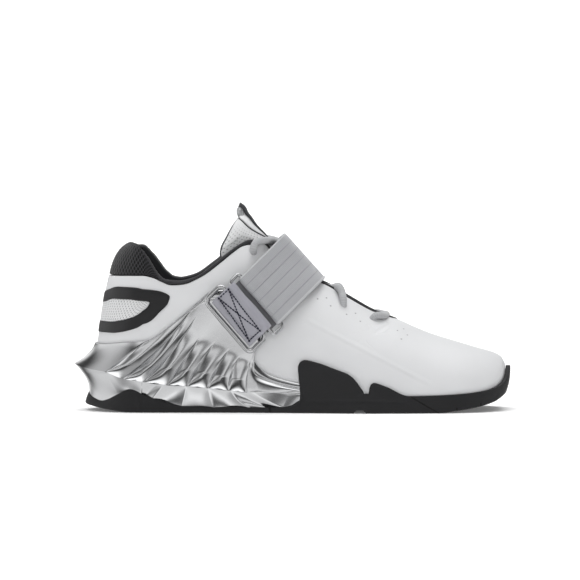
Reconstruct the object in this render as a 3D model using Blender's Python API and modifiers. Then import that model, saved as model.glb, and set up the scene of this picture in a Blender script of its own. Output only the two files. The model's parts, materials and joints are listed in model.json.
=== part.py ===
"""A weightlifting shoe for the right foot, as separate closed solids in metres with +Z up.

The origin is on the floor under the middle of the heel, +X points to the toe and -Y is the outer side.
A station says where a section stands: from 0 to 100 it is a share of TOE_REACH along X, and from 0 down
to -100 the section turns about the heel's middle, from the side of the heel to its back.
"""
import math

import bmesh
import bpy
import numpy as np
from mathutils import Vector

# Driving sizes
TOE_REACH = 0.254
BALL_WIDTH = 0.100
HEEL_WIDTH = 0.073
COLLAR_HEIGHT = 0.1196
HEEL_STACK = 0.027
FOREFOOT_STACK = 0.008
TOE_SPRING = 0.011
HEEL_BEVEL = 0.0045
HEEL_BEVEL_START = 0.008
HEEL_BEVEL_RUN = 0.033
RIM_HEIGHT = 0.037
RIM_THICKNESS = 0.002
SOLE_FLARE = 0.0052
SOLE_EDGE = 0.0008
OUTSOLE_THICKNESS = 0.003
FLEX_NOTCH_DEPTH = 0.002
UPPER_WALL = 0.0022
FIT_GAP = 0.0003
CURVE_GAP = 0.0006
CLIP_FLARE = 0.0138
CLIP_EDGE = 0.0016
CLIP_BASE = 0.0023
TUBE_SWELL = 0.0014
COLLAR_PAD = 0.0055
COLLAR_DEPTH = 0.030
LINING_GAP = 0.0012
COLLAR_HEM = 0.0012
COLLAR_SHOULDER = 0.75
BINDING_GAP = 0.00132
PIECE_GAP = 0.0018
FRAME_RELIEF = 0.0020
FRAME_SEAT = 0.0007
INSOLE_THICKNESS = 0.0035
TONGUE_HEIGHT = 0.1396
TONGUE_WIDTH = 0.040
TONGUE_THICKNESS = 0.004
PANEL_THICKNESS = 0.0011
PANEL_GAP = 0.00096
PANEL_START = 7.0
PANEL_HALF = 0.4
PANEL_TIP = 0.006
LACE_DIAMETER = 0.0044
STRAP_WIDTH = 0.042
STRAP_THICKNESS = 0.0013
STRAP_LIFT = 0.0025
STRAP_SKEW = -0.05
WEBBING_THICKNESS = 0.0012
PLY_GAP = 0.0003
RING_WIRE = 0.0028
FRAME_WIRE = 0.0026

# Whole table values below are percentages: stations as above, outer, inner and rim of the local width,
# height of COLLAR_HEIGHT, rise and reach as shares of the section's own height, lean and brow in degrees.
UPPER_COLUMNS = ("station", "outer", "inner", "rim", "height", "lean", "rise", "brow", "reach")
UPPER_ROWS = (
    (-100, 48.8, 48.8, 9.6, 100.0, 10.4, 0.55, 25, 0.20),
    (-67, 48.9, 48.9, 13.0, 99.7, 9.0, 0.52, 30, 0.20),
    (-33, 49.3, 49.3, 23.3, 98.7, 6.0, 0.45, 45, 0.22),
    (-11, 49.7, 49.7, 34.2, 96.6, 3.0, 0.40, 65, 0.26),
    (0, 50.0, 50.0, 39.0, 94.1, 2.0, 0.40, 75, 0.30),
    (2, 49.8, 49.7, 40.5, 87.8, 1.0, 0.39, 78, 0.30),
    (4, 49.4, 49.1, 41.2, 81.1, 0.0, 0.38, 79, 0.30),
    (6.3, 48.6, 48.0, 41.2, 77.2, -1.0, 0.36, 80, 0.30),
    (9.8, 47.3, 46.0, 40.9, 76.4, -3.0, 0.35, 80, 0.30),
    (13.8, 46.2, 43.7, 39.1, 78.2, -3.0, 0.35, 78, 0.30),
    (19.7, 45.0, 40.7, 35.3, 86.5, -2.0, 0.35, 72, 0.30),
    (23.6, 44.3, 39.1, 31.5, 93.2, 0.0, 0.35, 68, 0.30),
    (26.8, 44.1, 37.9, 27.4, 97.8, 1.0, 0.35, 64, 0.30),
    (29.5, 44.2, 37.1, 24.2, 100.3, 2.0, 0.35, 60, 0.30),
    (32.7, 44.3, 36.4, 19.8, 99.3, 3.0, 0.35, 56, 0.30),
    (36, 44.6, 35.9, 16.8, 92.5, 3.0, 0.35, 52, 0.31),
    (41.3, 45.1, 36.7, 14.7, 84.0, 2.0, 0.35, 45, 0.32),
    (46, 45.9, 37.6, 13.7, 77.4, 1.5, 0.35, 40, 0.33),
    (50, 46.5, 38.5, 13.0, 74.4, 1.0, 0.36, 36, 0.34),
    (56.3, 49.0, 43.0, 12.0, 66.7, -1.0, 0.37, 30, 0.36),
    (63.8, 50.5, 47.0, 9.5, 57.9, -2.0, 0.38, 20, 0.38),
    (68.1, 50.5, 48.5, 5.0, 54.6, -3.0, 0.38, 8, 0.40),
    (69.9, 50.6, 48.5, 0.0, 53.3, -3.0, 0.38, 0, 0.41),
    (74.4, 51.0, 48.5, 0.0, 49.0, -4.0, 0.38, 0, 0.42),
    (80, 50.5, 48.0, 0.0, 44.2, -4.0, 0.38, 0, 0.42),
    (86.2, 50.5, 48.0, 0.0, 40.1, -4.0, 0.38, 0, 0.42),
    (92.5, 50.5, 48.0, 0.0, 36.0, -4.0, 0.38, 0, 0.42),
    (96.9, 50.5, 48.0, 0.0, 33.3, -4.0, 0.38, 0, 0.42),
    (98.9, 50.5, 48.0, 0.0, 30.8, -4.0, 0.38, 0, 0.42),
    (100, 50.5, 48.0, 0.0, 26.6, -4.0, 0.38, 0, 0.42),
)
TOE_START = 80
TOE_POWER = 2.4
WIDTH_BLEND = 50

# Middle line's swing to the inner side, in percent of BALL_WIDTH
BEND_COLUMNS = ("station", "swing")
BEND_ROWS = ((0, 0.0), (40, 0.0), (60, 0.5), (70, 1.5), (85, 4.5), (100, 9.0))

# Footbed: share of the heel's lift, and of the toe spring, at each station
DROP_COLUMNS = ("station", "drop")
DROP_ROWS = (
    (-100, 1.0), (0, 1.0), (12, 0.92), (24, 0.63), (36, 0.32), (47, 0.12), (59, 0.01), (75, 0.0), (100, 0.0),
)
SPRING_COLUMNS = ("station", "spring")
SPRING_ROWS = ((60, 0.0), (81, 0.0), (86, 0.12), (90.5, 0.26), (96.8, 0.6), (100, 1.0), (103, 1.4))

# Where the white wall ends and the collar starts, in percent of COLLAR_HEIGHT
BINDING_COLUMNS = ("station", "height")
BINDING_ROWS = (
    (-100, 80.5), (-50, 80.4), (0, 79.7), (2.9, 78.2), (5.2, 76.0), (8, 74.0), (10.7, 74.3), (16.5, 79.3),
    (19.8, 84.2), (22.6, 89.0), (25.4, 93.7), (27.6, 96.6), (29.5, 97.3), (31.1, 97.0), (33, 96.0),
)
COLLAR_END = 30.3
BINDING_END = 30.8
EYESTAY_START = 32.2

# Outsole's top edge: its station, height in percent of RIM_HEIGHT and the station below it on the floor
RIM_COLUMNS = ("top", "height", "ground")
RIM_ROWS = (
    (-100, 35.1, -100), (-71.6, 25.9, -72), (-55, 21.4, -55), (-45, 24.3, -45), (-29.6, 35.1, -30),
    (-14.4, 45.1, -14.4), (-1.2, 36.5, -1), (4.6, 24.3, 4.6), (9.8, 14.3, 9.8), (14.3, 10.8, 14.3),
    (21.3, 10.5, 21.3), (28.3, 10.5, 28.3), (33.2, 10.6, 33.2), (37.2, 10.8, 37), (40.7, 12.4, 40),
    (42.5, 18.4, 41), (44.1, 27.6, 41.8), (44.3, 37, 42.4), (43.8, 48.4, 43), (43.3, 67.3, 43.6),
    (42.8, 84.3, 44.2), (43.2, 94.6, 44.8), (44.7, 100, 46), (48.3, 94.6, 48.8), (52.5, 84.3, 52.5),
    (56.3, 74.3, 56.3), (58, 65.7, 57.9), (60.6, 41.6, 59.6), (60.9, 37.8, 60.3), (62, 37.8, 61.4),
    (62.3, 48.4, 62.4), (62.7, 54.9, 63), (63.7, 57.8, 64), (67.2, 49.7, 67.2), (73.2, 33, 73.2),
    (80, 33.8, 80), (88.4, 36.8, 88.4), (94.7, 42.4, 94.7), (98.1, 52.7, 98.1), (99.7, 70, 99.6),
    (100, 83, 100),
)
RISE_START = 42.4
RISE_END = 44.3
FLEX_NOTCH = (57.9, 61.4)

# How far the outsole's side stands out from the upper, in percent of SOLE_FLARE
FLARE_COLUMNS = ("station", "foot", "belly", "lip")
FLARE_ROWS = (
    (-100, 100, 90, 46), (-50, 88, 78, 46), (0, 72, 62, 46), (20, 42, 42, 46), (45, 44, 50, 46),
    (62, 46, 54, 42), (80, 46, 56, 36), (92, 34, 62, 34), (97, 20, 70, 34), (100, 10, 72, 34),
)

# Heel clip: a row for each rib or edge, from its foot over the crest and a bend to its top. Heights are
# in percent of HEEL_STACK at the crest and of COLLAR_HEIGHT above it, flare in percent of CLIP_FLARE.
CLIP_COLUMNS = ("foot", "crest", "crest_height", "bend", "bend_height", "top", "top_height", "flare")
CLIP_ROWS = (
    (-100, -100, 123.0, -100, 32.2, -100, 40.6, 100),
    (-71.6, -74, 115.5, -67, 31.8, -61, 39.6, 83),
    (-45, -53, 108.0, -35, 33.4, -21, 40.0, 65),
    (-29.6, -40, 103.7, -6, 35.5, 6.9, 51.3, 54),
    (-14.4, -20, 88.0, 6.5, 38.0, 14.9, 64.2, 51),
    (-1.2, 0.6, 80.4, 9.4, 35.5, 19.3, 71.1, 51),
    (4.6, 6.8, 73.0, 13.8, 36.0, 24.0, 71.7, 51),
    (9.8, 12.3, 69.6, 17.3, 35.3, 28.1, 64.7, 49),
    (14.3, 18.0, 64.8, 21.2, 32.9, 31.1, 56.5, 47),
    (21.3, 23.9, 58.9, 23.8, 30.9, 33.3, 47.7, 43),
    (28.3, 28.8, 54.4, 28.5, 30.3, 32.2, 40.7, 40),
    (33.2, 32.8, 54.0, 30.6, 22.0, 30.6, 31.9, 36),
    (37.2, 38.3, 51.9, 36.1, 17.3, 34.4, 22.8, 33),
    (40.7, 43.3, 48.1, 43.2, 14.4, 42.3, 17.6, 27),
)
CLIP_BELOW = (0.0, 0.35, 0.7)
CLIP_ABOVE = (1.0, 1.12, 1.27, 1.5, 1.75, 2.0)
FIRST_RIB = 3
LAST_RIB = 10

# Heel frame: outer and inner edge of the raised band, from the heel's back round the loop and back
LOOP_COLUMNS = ("outer", "outer_height", "inner", "inner_height")
LOOP_ROWS = (
    (-100, 70.4, -100, 64.1), (-70, 71.8, -72, 65.0), (-40, 73.4, -46.9, 66.3), (-15, 72.9, -20, 65.8),
    (-2.1, 72.2, -5, 65.1), (4.7, 70.7, 1.0, 64.8), (7.5, 67.4, 1.9, 63.9), (7.0, 63.5, 1.5, 62.0),
    (4.7, 58.4, 0.2, 59.5), (1.0, 51.9, -10, 56.1), (-15.3, 48.0, -27.8, 53.7), (-44.8, 46.4, -51.5, 52.8),
    (-75, 46.9, -76, 53.4), (-100, 47.2, -100, 53.8),
)

# Tongue: middle and edge in percent of TOE_REACH and TONGUE_HEIGHT, width in percent of TONGUE_WIDTH
TONGUE_COLUMNS = ("middle", "middle_height", "edge", "edge_height", "width")
TONGUE_ROWS = (
    (69.3, 39.4, 69.3, 36.5, 30), (63.8, 45.0, 63.0, 41.5, 52), (56.3, 53.0, 55.1, 45.8, 72),
    (50.0, 57.8, 48.0, 49.0, 86), (43.3, 65.6, 40.2, 55.0, 96), (38.6, 73.8, 33.1, 62.0, 100),
    (35.8, 82.6, 26.8, 70.2, 100), (34.0, 88.1, 22.8, 78.8, 100), (31.5, 94.2, 23.0, 86.7, 90),
    (29.5, 98.1, 24.8, 93.8, 62), (28.2, 100.0, 26.6, 98.0, 28),
)

# Laces: places along X of the eyelet, the rearmost bend and the rim's crossing, then tongue rows where
# the two runs cross and where they end in the throat
LACE_COLUMNS = ("name", "eyelet", "rear", "over", "crossing", "end")
LACE_ROWS = (
    ("lace_cross_low", 0.140, 0.137, 0.1345, 2.85, 3.55),
    ("lace_cross_top", 0.0800, 0.0778, 0.0835, 6.15, 5.0),
)
EYELET_INSET = 0.0075
LACE_BAR_EYELET = 0.160
LACE_VAMP = 0.127
LACE_SPREAD = 0.25
LACE_BAR_BULGE = 0.0105

# Strap: its fold's place, and the heights of the hump that it crosses, along its own slope
FOLD_X = 0.321
FOLD_Z = 0.652
STRAP_SLOPE = math.radians(43.7)
HUMP_REAR = 0.0418
HUMP_FRONT = 0.0405
HUMP_HALF = 0.010
HUMP_FALL = 0.0015
RING_RIGHT = 0.0007
RING_LEFT = -0.0083
RING_LOW = 0.0040
RING_HIGH = 0.0054
RING_OVERHANG = 0.0035
TAB_END = -0.026
TAB_PARTING = -0.013
FRAME_LEFT = -0.029
FRAME_LENGTH = 0.048
FRAME_SHIFT = -0.0025
TAB_SHIFT = -0.002
TAB_HALF = 0.0202
UNDER_LENGTH = 0.128
OVER_LENGTH = 0.104
TURN_LENGTH = 0.006
TAB_TURN = 0.0045


def smooth_read(xs, ys, x):
    """Read a table's column at x along a smooth curve that never overshoots its rows."""
    xs, ys = np.asarray(xs, float), np.asarray(ys, float)
    span = np.diff(xs)
    rise = np.diff(ys) / span
    slope = np.zeros(len(xs))
    before, after = rise[:-1], rise[1:]
    same = before * after > 0
    near, far = 2 * span[1:] + span[:-1], span[1:] + 2 * span[:-1]
    blend = near / np.where(same, before, 1) + far / np.where(same, after, 1)
    slope[1:-1] = np.where(same, (near + far) / np.where(same, blend, 1), 0)
    slope[-1] = rise[-1]
    x = np.clip(np.asarray(x, float), xs[0], xs[-1])
    i = np.clip(np.searchsorted(xs, x, side="right") - 1, 0, len(xs) - 2)
    t = (x - xs[i]) / span[i]
    start = (2 * t ** 3 - 3 * t ** 2 + 1) * ys[i] + (t ** 3 - 2 * t ** 2 + t) * span[i] * slope[i]
    end = (3 * t ** 2 - 2 * t ** 3) * ys[i + 1] + (t ** 3 - t ** 2) * span[i] * slope[i + 1]
    return start + end


def by_station(columns, rows, name, station):
    """Read a named column at a station, which is the table's first column."""
    k = columns.index(name)
    return smooth_read([row[0] for row in rows], [row[k] for row in rows], station)


def by_row(columns, rows, name, place):
    """Read a named column between rows, where place counts the rows from 0."""
    k = columns.index(name)
    return smooth_read(range(len(rows)), [row[k] for row in rows], place)


def row_distances(*lines):
    """How far apart a table's rows are on the shoe, on whichever of its lines they spread most."""
    return np.max([np.linalg.norm(np.diff(line, axis=0), axis=1) for line in lines], axis=0)


def split_rows(distances, longest):
    """Places along a table's rows, with extra ones where two rows are further apart than longest."""
    places = [0.0]
    for k, distance in enumerate(distances):
        count = max(1, math.ceil(distance / longest))
        places += [k + (j + 1) / count for j in range(count)]
    return np.array(places)


def local_width(station):
    """Width that the upper's table is a share of: the heel's, growing into the ball's."""
    share = np.clip(np.asarray(station, float) / WIDTH_BLEND, 0, 1)
    return HEEL_WIDTH + (BALL_WIDTH - HEEL_WIDTH) * share


def footbed(station):
    """Height of the surface that the foot stands on, under the insole."""
    drop = by_station(DROP_COLUMNS, DROP_ROWS, "drop", station)
    spring = by_station(SPRING_COLUMNS, SPRING_ROWS, "spring", station)
    return FOREFOOT_STACK + (HEEL_STACK - FOREFOOT_STACK) * drop + TOE_SPRING * spring


def ground(x, station=None):
    """Height of the outsole's underside: flat, with a bevel at the heel, a flex notch and toe spring."""
    bevel = HEEL_BEVEL * (np.clip(-x - HEEL_BEVEL_START, 0, None) / HEEL_BEVEL_RUN) ** 1.5
    spring = TOE_SPRING * by_station(SPRING_COLUMNS, SPRING_ROWS, "spring", x / TOE_REACH * 100)
    notch = 0.0
    if station is not None:
        middle, half = sum(FLEX_NOTCH) / 2, (FLEX_NOTCH[1] - FLEX_NOTCH[0]) / 2
        notch = FLEX_NOTCH_DEPTH * np.clip(2 * (1 - abs(station - middle) / half), 0, 1)
    return bevel + spring + notch


def controls(station, side):
    """Four control points of the upper's section, each a distance from the middle line and a height."""
    station = np.clip(np.asarray(station, float), -100, 100)
    unit = local_width(station)
    col = {name: by_station(UPPER_COLUMNS, UPPER_ROWS, name, station) for name in UPPER_COLUMNS[1:]}
    toe = (1 - np.clip((station - TOE_START) / (100 - TOE_START), 0, 1) ** TOE_POWER) ** (1 / TOE_POWER)
    half = np.where(np.asarray(side) < 0, col["outer"], col["inner"]) / 100 * unit * toe
    foot = (half, footbed(station))
    rim = (col["rim"] / 100 * unit, col["height"] / 100 * COLLAR_HEIGHT)
    length = np.hypot(rim[0] - foot[0], rim[1] - foot[1])
    lean, brow = np.radians(col["lean"]), np.radians(col["brow"])
    rise, reach = col["rise"] * length, col["reach"] * length
    low = (foot[0] - toe * rise * np.sin(lean), foot[1] + rise * np.cos(lean))
    high = (rim[0] + toe * reach * np.cos(brow), rim[1] - reach * np.sin(brow))
    return foot, low, high, rim


def along_section(points, t, depth=0.0):
    """Distance and height on a section, t from 0 at the footbed to 1 at the rim, at a depth inside it."""
    u = 1 - t
    axes = list(zip(*points))
    r, z = (u ** 3 * a + 3 * u ** 2 * t * b + 3 * u * t ** 2 * c + t ** 3 * d for a, b, c, d in axes)
    dr, dz = (u ** 2 * (b - a) + 2 * u * t * (c - b) + t ** 2 * (d - c) for a, b, c, d in axes)
    size = np.hypot(dr, dz) + 1e-12
    return r - depth * dz / size, z + depth * dr / size


def wall(station, side, t, depth=0.0):
    """Distance from the middle line and height at a depth under the upper's outer face."""
    return along_section(controls(station, side), t, depth)


def search(points, z, depth):
    """The t at which a section, or the line at a depth inside it, reaches a height."""
    low, high = np.zeros(np.shape(z)), np.ones(np.shape(z))
    for _ in range(24):
        middle = (low + high) / 2
        above = along_section(points, middle, depth)[1] > z
        high = np.where(above, middle, high)
        low = np.where(above, low, middle)
    return (low + high) / 2


def share_at(station, side, z, depth=0.0):
    """The t at which the wall, or the surface at a depth under it, reaches a height."""
    station, side, z = np.broadcast_arrays(np.asarray(station, float), side, np.asarray(z, float))
    return search(controls(station, side), z, depth)


def radius(station, side, z, depth=0.0):
    """Distance of the wall from the middle line at a height."""
    station, side, z = np.broadcast_arrays(np.asarray(station, float), side, np.asarray(z, float))
    points = controls(station, side)
    return along_section(points, search(points, z, depth), depth)[0]


def plan(station, side, r):
    """X and Y of a point at a distance from the middle line."""
    station = np.asarray(station, float)
    turn = np.radians(np.clip(-station, 0, 100) * 0.9)
    along = np.clip(station, 0, 100)
    x = along / 100 * TOE_REACH
    y = by_station(BEND_COLUMNS, BEND_ROWS, "swing", along) / 100 * BALL_WIDTH
    return x - r * np.sin(turn), y + side * r * np.cos(turn)


def skin(station, side, z, offset=0.0):
    """Points on the upper's outline at given heights, pushed level outwards by an offset."""
    station, z, offset = np.broadcast_arrays(np.asarray(station, float), np.asarray(z, float), offset)
    x, y = plan(station, side, radius(station, side, z))
    step = np.minimum(0.4, (100 - np.clip(station, -100, 100)) * 0.25 + 0.0005)
    before, after = np.clip(station - step, -100, 100), np.clip(station + step, -100, 100)
    xb, yb = plan(before, side, radius(before, side, z))
    xa, ya = plan(after, side, radius(after, side, z))
    size = np.hypot(xa - xb, ya - yb) + 1e-12
    nx, ny = -side * (ya - yb) / size, side * (xa - xb) / size
    tip = np.where(station <= -99.99, -1.0, np.where(station >= 99.99, 1.0, 0.0))
    nx, ny = np.where(tip != 0, tip, nx), np.where(tip != 0, 0.0, ny)
    return np.stack([x + nx * offset, y + ny * offset, z], axis=-1)


def stations(first, last, longest=3.5, heel_step=12.5):
    """Stations for a piece's sections: heel steps, the upper's own rows and the toe's rounding."""
    marks = [s for s in np.arange(-100, 0, heel_step)]
    marks += [row[0] for row in UPPER_ROWS if 0 <= row[0] < TOE_START]
    marks += [BINDING_END, EYESTAY_START]
    turns = np.radians(np.linspace(90, 0, 9))
    marks += list(TOE_START + (100 - TOE_START) * np.cos(turns) ** (2 / TOE_POWER))
    marks = sorted(s for s in marks if first < s < last)
    kept = [float(first)]
    for mark in marks + [float(last)]:
        gap = mark - kept[-1]
        if gap < 0.65 and mark < TOE_START:
            continue
        pieces = max(1, math.ceil(gap / longest)) if mark > 0 and kept[-1] >= 0 else 1
        start = kept[-1]
        kept += [start + gap * (j + 1) / pieces for j in range(pieces)]
    kept[-1] = float(last)
    return kept


def curve_through(points, count):
    """Evenly spread points on a smooth curve through the given ones."""
    points = np.array(points, float)
    steps = np.linalg.norm(np.diff(points, axis=0), axis=1)
    chord = np.concatenate([[0], np.cumsum(steps)])
    at = np.linspace(0, chord[-1], count)
    return np.stack([smooth_read(chord, points[:, k], at) for k in range(points.shape[1])], axis=1)


def material(name, colour, roughness, metallic=0.0):
    """A Principled material of one colour."""
    made = bpy.data.materials.new(name)
    made.use_nodes = True
    shader = made.node_tree.nodes["Principled BSDF"]
    shader.inputs["Base Color"].default_value = (*colour, 1.0)
    shader.inputs["Roughness"].default_value = roughness
    shader.inputs["Metallic"].default_value = metallic
    return made


def add_object(name, mesh, finish, collection):
    """Put a mesh into the scene as a smooth-shaded object with its material."""
    mesh.shade_smooth()
    mesh.set_sharp_from_angle(angle=math.radians(35))
    mesh.materials.clear()
    mesh.materials.append(finish)
    made = bpy.data.objects.new(name, mesh)
    collection.objects.link(made)
    return made


def grid_mesh(name, grids, closed_across=False):
    """A mesh from grids of points: rows of sections, welded where they share points."""
    vertices, faces = [], []
    for grid in grids:
        rows, columns = grid.shape[:2]
        start = len(vertices)
        vertices += [tuple(point) for point in grid.reshape(-1, 3)]
        last = columns if closed_across else columns - 1
        for i in range(rows - 1):
            for j in range(last):
                k = (j + 1) % columns
                a, b = start + i * columns, start + (i + 1) * columns
                faces.append((a + j, b + j, b + k, a + k))
    mesh = bpy.data.meshes.new(name)
    mesh.from_pydata(vertices, [], faces)
    shell = bmesh.new()
    shell.from_mesh(mesh)
    bmesh.ops.remove_doubles(shell, verts=shell.verts, dist=1e-6)
    bmesh.ops.dissolve_degenerate(shell, edges=shell.edges, dist=1e-6)
    face_outwards(shell)
    shell.to_mesh(mesh)
    shell.free()
    return mesh


def face_outwards(shell):
    """Turn a welded mesh's faces away from its middle."""
    bmesh.ops.recalc_face_normals(shell, faces=shell.faces)
    centre = sum((vert.co for vert in shell.verts), Vector()) / len(shell.verts)
    outward = 0.0
    for face in shell.faces:
        outward += (face.calc_center_median() - centre).dot(face.normal) * face.calc_area()
    if outward < 0:
        bmesh.ops.reverse_faces(shell, faces=shell.faces)


def fill_ends(mesh):
    """Close the open ends of a welded tube with flat faces."""
    shell = bmesh.new()
    shell.from_mesh(mesh)
    bmesh.ops.holes_fill(shell, edges=[edge for edge in shell.edges if edge.is_boundary], sides=0)
    bmesh.ops.triangulate(shell, faces=[face for face in shell.faces if len(face.verts) > 4])
    face_outwards(shell)
    shell.to_mesh(mesh)
    shell.free()


def thicken(made, thickness, offset):
    """Give an open surface its wall, inwards at -1 and to both sides at 0."""
    wall_maker = made.modifiers.new("wall", "SOLIDIFY")
    wall_maker.thickness = thickness
    wall_maker.offset = offset
    wall_maker.use_even_offset = True
    wall_maker.use_quality_normals = True


def flare_profile(station, v):
    """How far the outsole's side stands out, v from 0 at the floor to 1 at its top edge."""
    foot, belly, lip = (by_station(FLARE_COLUMNS, FLARE_ROWS, name, station) for name in FLARE_COLUMNS[1:])
    return ((1 - v) ** 2 * foot + 2 * v * (1 - v) * belly + v ** 2 * lip) / 100 * SOLE_FLARE


def sole_column(place, side, across=3, up=4):
    """One section of the outsole: underside, outer side, inner side and floor, from middle to middle."""
    top, ground_station = (by_row(RIM_COLUMNS, RIM_ROWS, name, place) for name in ("top", "ground"))
    rim = by_row(RIM_COLUMNS, RIM_ROWS, "height", place) / 100 * RIM_HEIGHT
    foot = flare_profile(top, 0.0)
    rise = np.clip((ground_station - RISE_START) / (RISE_END - RISE_START), 0, 1)
    corner = skin(ground_station, side, 0.0, foot)
    low = ground(corner[0], ground_station)

    def side_points(v, inwards):
        offset = flare_profile(top, v)
        if inwards:
            in_heel = np.maximum(offset - RIM_THICKNESS, CURVE_GAP)
            offset = in_heel + (CURVE_GAP - in_heel) * rise
        return skin(ground_station + (top - ground_station) * v, side, low + (rim - low) * v, offset)

    start = SOLE_EDGE / (rim - low)
    outer = side_points(np.linspace(start, 1, up), False)
    edge = skin(ground_station, side, 0.0, foot - SOLE_EDGE)
    middle = np.array(plan(ground_station, side, 0.0))
    shares = np.linspace(0, 1, across)[:, None]
    under = middle + (edge[:2] - middle) * shares
    under = np.column_stack([under, ground(under[:, 0], ground_station)])
    raised = footbed(ground_station) - FIT_GAP
    bed = (ground(corner[0]) + OUTSOLE_THICKNESS) * (1 - rise) + raised * rise
    inner = side_points(np.linspace(1, (bed - low) / (rim - low), up), True)
    floor = inner[-1][:2] + (middle - inner[-1][:2]) * shares[1:]
    heights = (ground(floor[:, 0]) + OUTSOLE_THICKNESS) * (1 - rise) + raised * rise
    floor = np.column_stack([floor, heights])
    return np.concatenate([under, outer, inner, floor])


def make_outsole(finish, collection):
    """Black rubber sole: thin under the heel clip, a cup with lobes and a toe bumper in front."""
    feet = [skin(row[2], -1, 0.0)[:2] for row in RIM_ROWS]
    tops = [skin(row[0], -1, row[1] / 100 * RIM_HEIGHT) for row in RIM_ROWS]
    reach = row_distances(feet, tops)
    places = split_rows(reach, 0.0098)
    grids = [np.array([sole_column(place, side) for place in places]) for side in (-1, 1)]
    return add_object("outsole", grid_mesh("outsole", grids), finish, collection)


def rim_height(station):
    """Height of the outsole's top edge behind its front lobe."""
    rear = [row for row in RIM_ROWS if row[0] <= RISE_START]
    return smooth_read([row[0] for row in rear], [row[1] for row in rear], station) / 100 * RIM_HEIGHT


def clip_line(place, v):
    """Station, height and offset on the clip's outer face, v from 0 at its foot over 1 to 2 at the top."""
    col = {name: by_row(CLIP_COLUMNS, CLIP_ROWS, name, place) for name in CLIP_COLUMNS}
    foot_z = rim_height(col["foot"]) + CURVE_GAP
    crest_z = col["crest_height"] / 100 * HEEL_STACK
    bend_z, top_z = (col[name] / 100 * COLLAR_HEIGHT for name in ("bend_height", "top_height"))
    below, w = np.clip(v, 0, 1), np.clip(v - 1, 0, 1)
    station = (1 - w) ** 2 * col["crest"] + 2 * w * (1 - w) * col["bend"] + w ** 2 * col["top"]
    z = (1 - w) ** 2 * crest_z + 2 * w * (1 - w) * bend_z + w ** 2 * top_z
    station = np.where(v < 1, col["foot"] + (col["crest"] - col["foot"]) * below, station)
    z = np.where(v < 1, foot_z + (crest_z - foot_z) * below, z)
    flare = col["flare"] / 100 * CLIP_FLARE
    phase = (2 * (place % 1) - 1) ** 2 if FIRST_RIB < place < LAST_RIB else 1.0
    ridge = phase * (1 - w) ** 1.4 + (1 - phase) * (1 - w) ** 4.5
    offset = CLIP_EDGE + (flare - CLIP_EDGE) * ridge
    tubes = np.clip((place - LAST_RIB) / 0.8, 0, 1)
    offset = offset + TUBE_SWELL * tubes * abs(np.sin(2 * np.pi * w)) * (v >= 1)
    steep = 1.5 + 1.0 * np.clip((3.0 - place) / 3.0, 0, 1)
    offset = np.where(v < 1, CLIP_BASE + (flare - CLIP_BASE) * below ** steep, offset)
    return station, z, offset


def clip_column(place, side, across=3, inside=6):
    """One section of the heel clip, from the middle of its underside to the middle of its footbed."""
    foot = float(by_row(CLIP_COLUMNS, CLIP_ROWS, "foot", place))
    corner = skin(foot, side, 0.0, flare_profile(foot, 0.0))
    floor_z = ground(corner[0])
    low = floor_z + OUTSOLE_THICKNESS + CURVE_GAP
    ledge = rim_height(foot) + CURVE_GAP
    shares = (min((low - floor_z) / (rim_height(foot) - floor_z), 1.0), 1.0)
    seat = [max(float(flare_profile(foot, v)) - RIM_THICKNESS - CURVE_GAP - FIT_GAP, 0.0) for v in shares]
    corner = skin(foot, side, low, seat[0])
    step = skin(foot, side, ledge, seat[1])
    station, z, offset = clip_line(place, np.array(CLIP_BELOW + CLIP_ABOVE))
    face = skin(station, side, z, offset)
    outer = np.concatenate([corner[None], step[None], face])
    fine = np.linspace(2, 0, 241)
    station, z, _ = clip_line(place, fine)
    bed = footbed(station) - FIT_GAP
    end = int(np.argmax(z <= bed)) if np.any(z <= bed) else len(fine) - 1
    pick = np.linspace(0, end, inside).round().astype(int)
    inner_z = z[pick].copy()
    inner_z[-1] = bed[end]
    inner = skin(station[pick], side, inner_z, CURVE_GAP)
    shares = np.linspace(0, 1, across)[:, None]
    start = np.array(plan(foot, side, 0.0))
    under = start + (corner[:2] - start) * shares
    under = np.column_stack([under, ground(under[:, 0]) + OUTSOLE_THICKNESS + CURVE_GAP])
    middle = np.array(plan(station[end], side, 0.0))
    floor = inner[-1][:2] + (middle - inner[-1][:2]) * shares
    floor = np.column_stack([floor, np.full(across, bed[end])])
    return under[:-1], outer, inner, floor[1:]


def make_heel_clip(finish, collection):
    """Moulded heel and midsole with its ribbed sides, rear spur and strap wings, as one solid."""
    crest = [skin(row[1], -1, row[2] / 100 * HEEL_STACK) for row in CLIP_ROWS]
    top = [skin(row[5], -1, row[6] / 100 * COLLAR_HEIGHT) for row in CLIP_ROWS]
    reach = row_distances(crest, top)
    places = split_rows(reach, 0.0092)
    ribs = [k + 0.5 for k in range(FIRST_RIB, LAST_RIB)]
    places = sorted(set(places.round(4)) | set(ribs))
    grids, ends = [], []
    for side in (-1, 1):
        columns = [clip_column(place, side) for place in places]
        grids.append(np.array([np.concatenate(column) for column in columns]))
        under, outer, inner, floor = columns[-1]
        pick = np.linspace(len(inner) - 1, 0, len(outer)).round().astype(int)
        upper_line = np.concatenate([floor[::-1], inner[pick]])
        ends.append(np.array([np.concatenate([under, outer]), upper_line]))
    return add_object("heel_clip", grid_mesh("heel_clip", grids + ends), finish, collection)


def top_share(station, side):
    """Where the white wall ends: under the collar at the binding line, else at the throat or the toe."""
    line = by_station(BINDING_COLUMNS, BINDING_ROWS, "height", station) / 100 * COLLAR_HEIGHT
    at_binding = float(share_at(station, side, line))
    open_share = np.clip((station - BINDING_END) / (EYESTAY_START - BINDING_END), 0, 1)
    return at_binding + (1 - at_binding) * open_share


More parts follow.
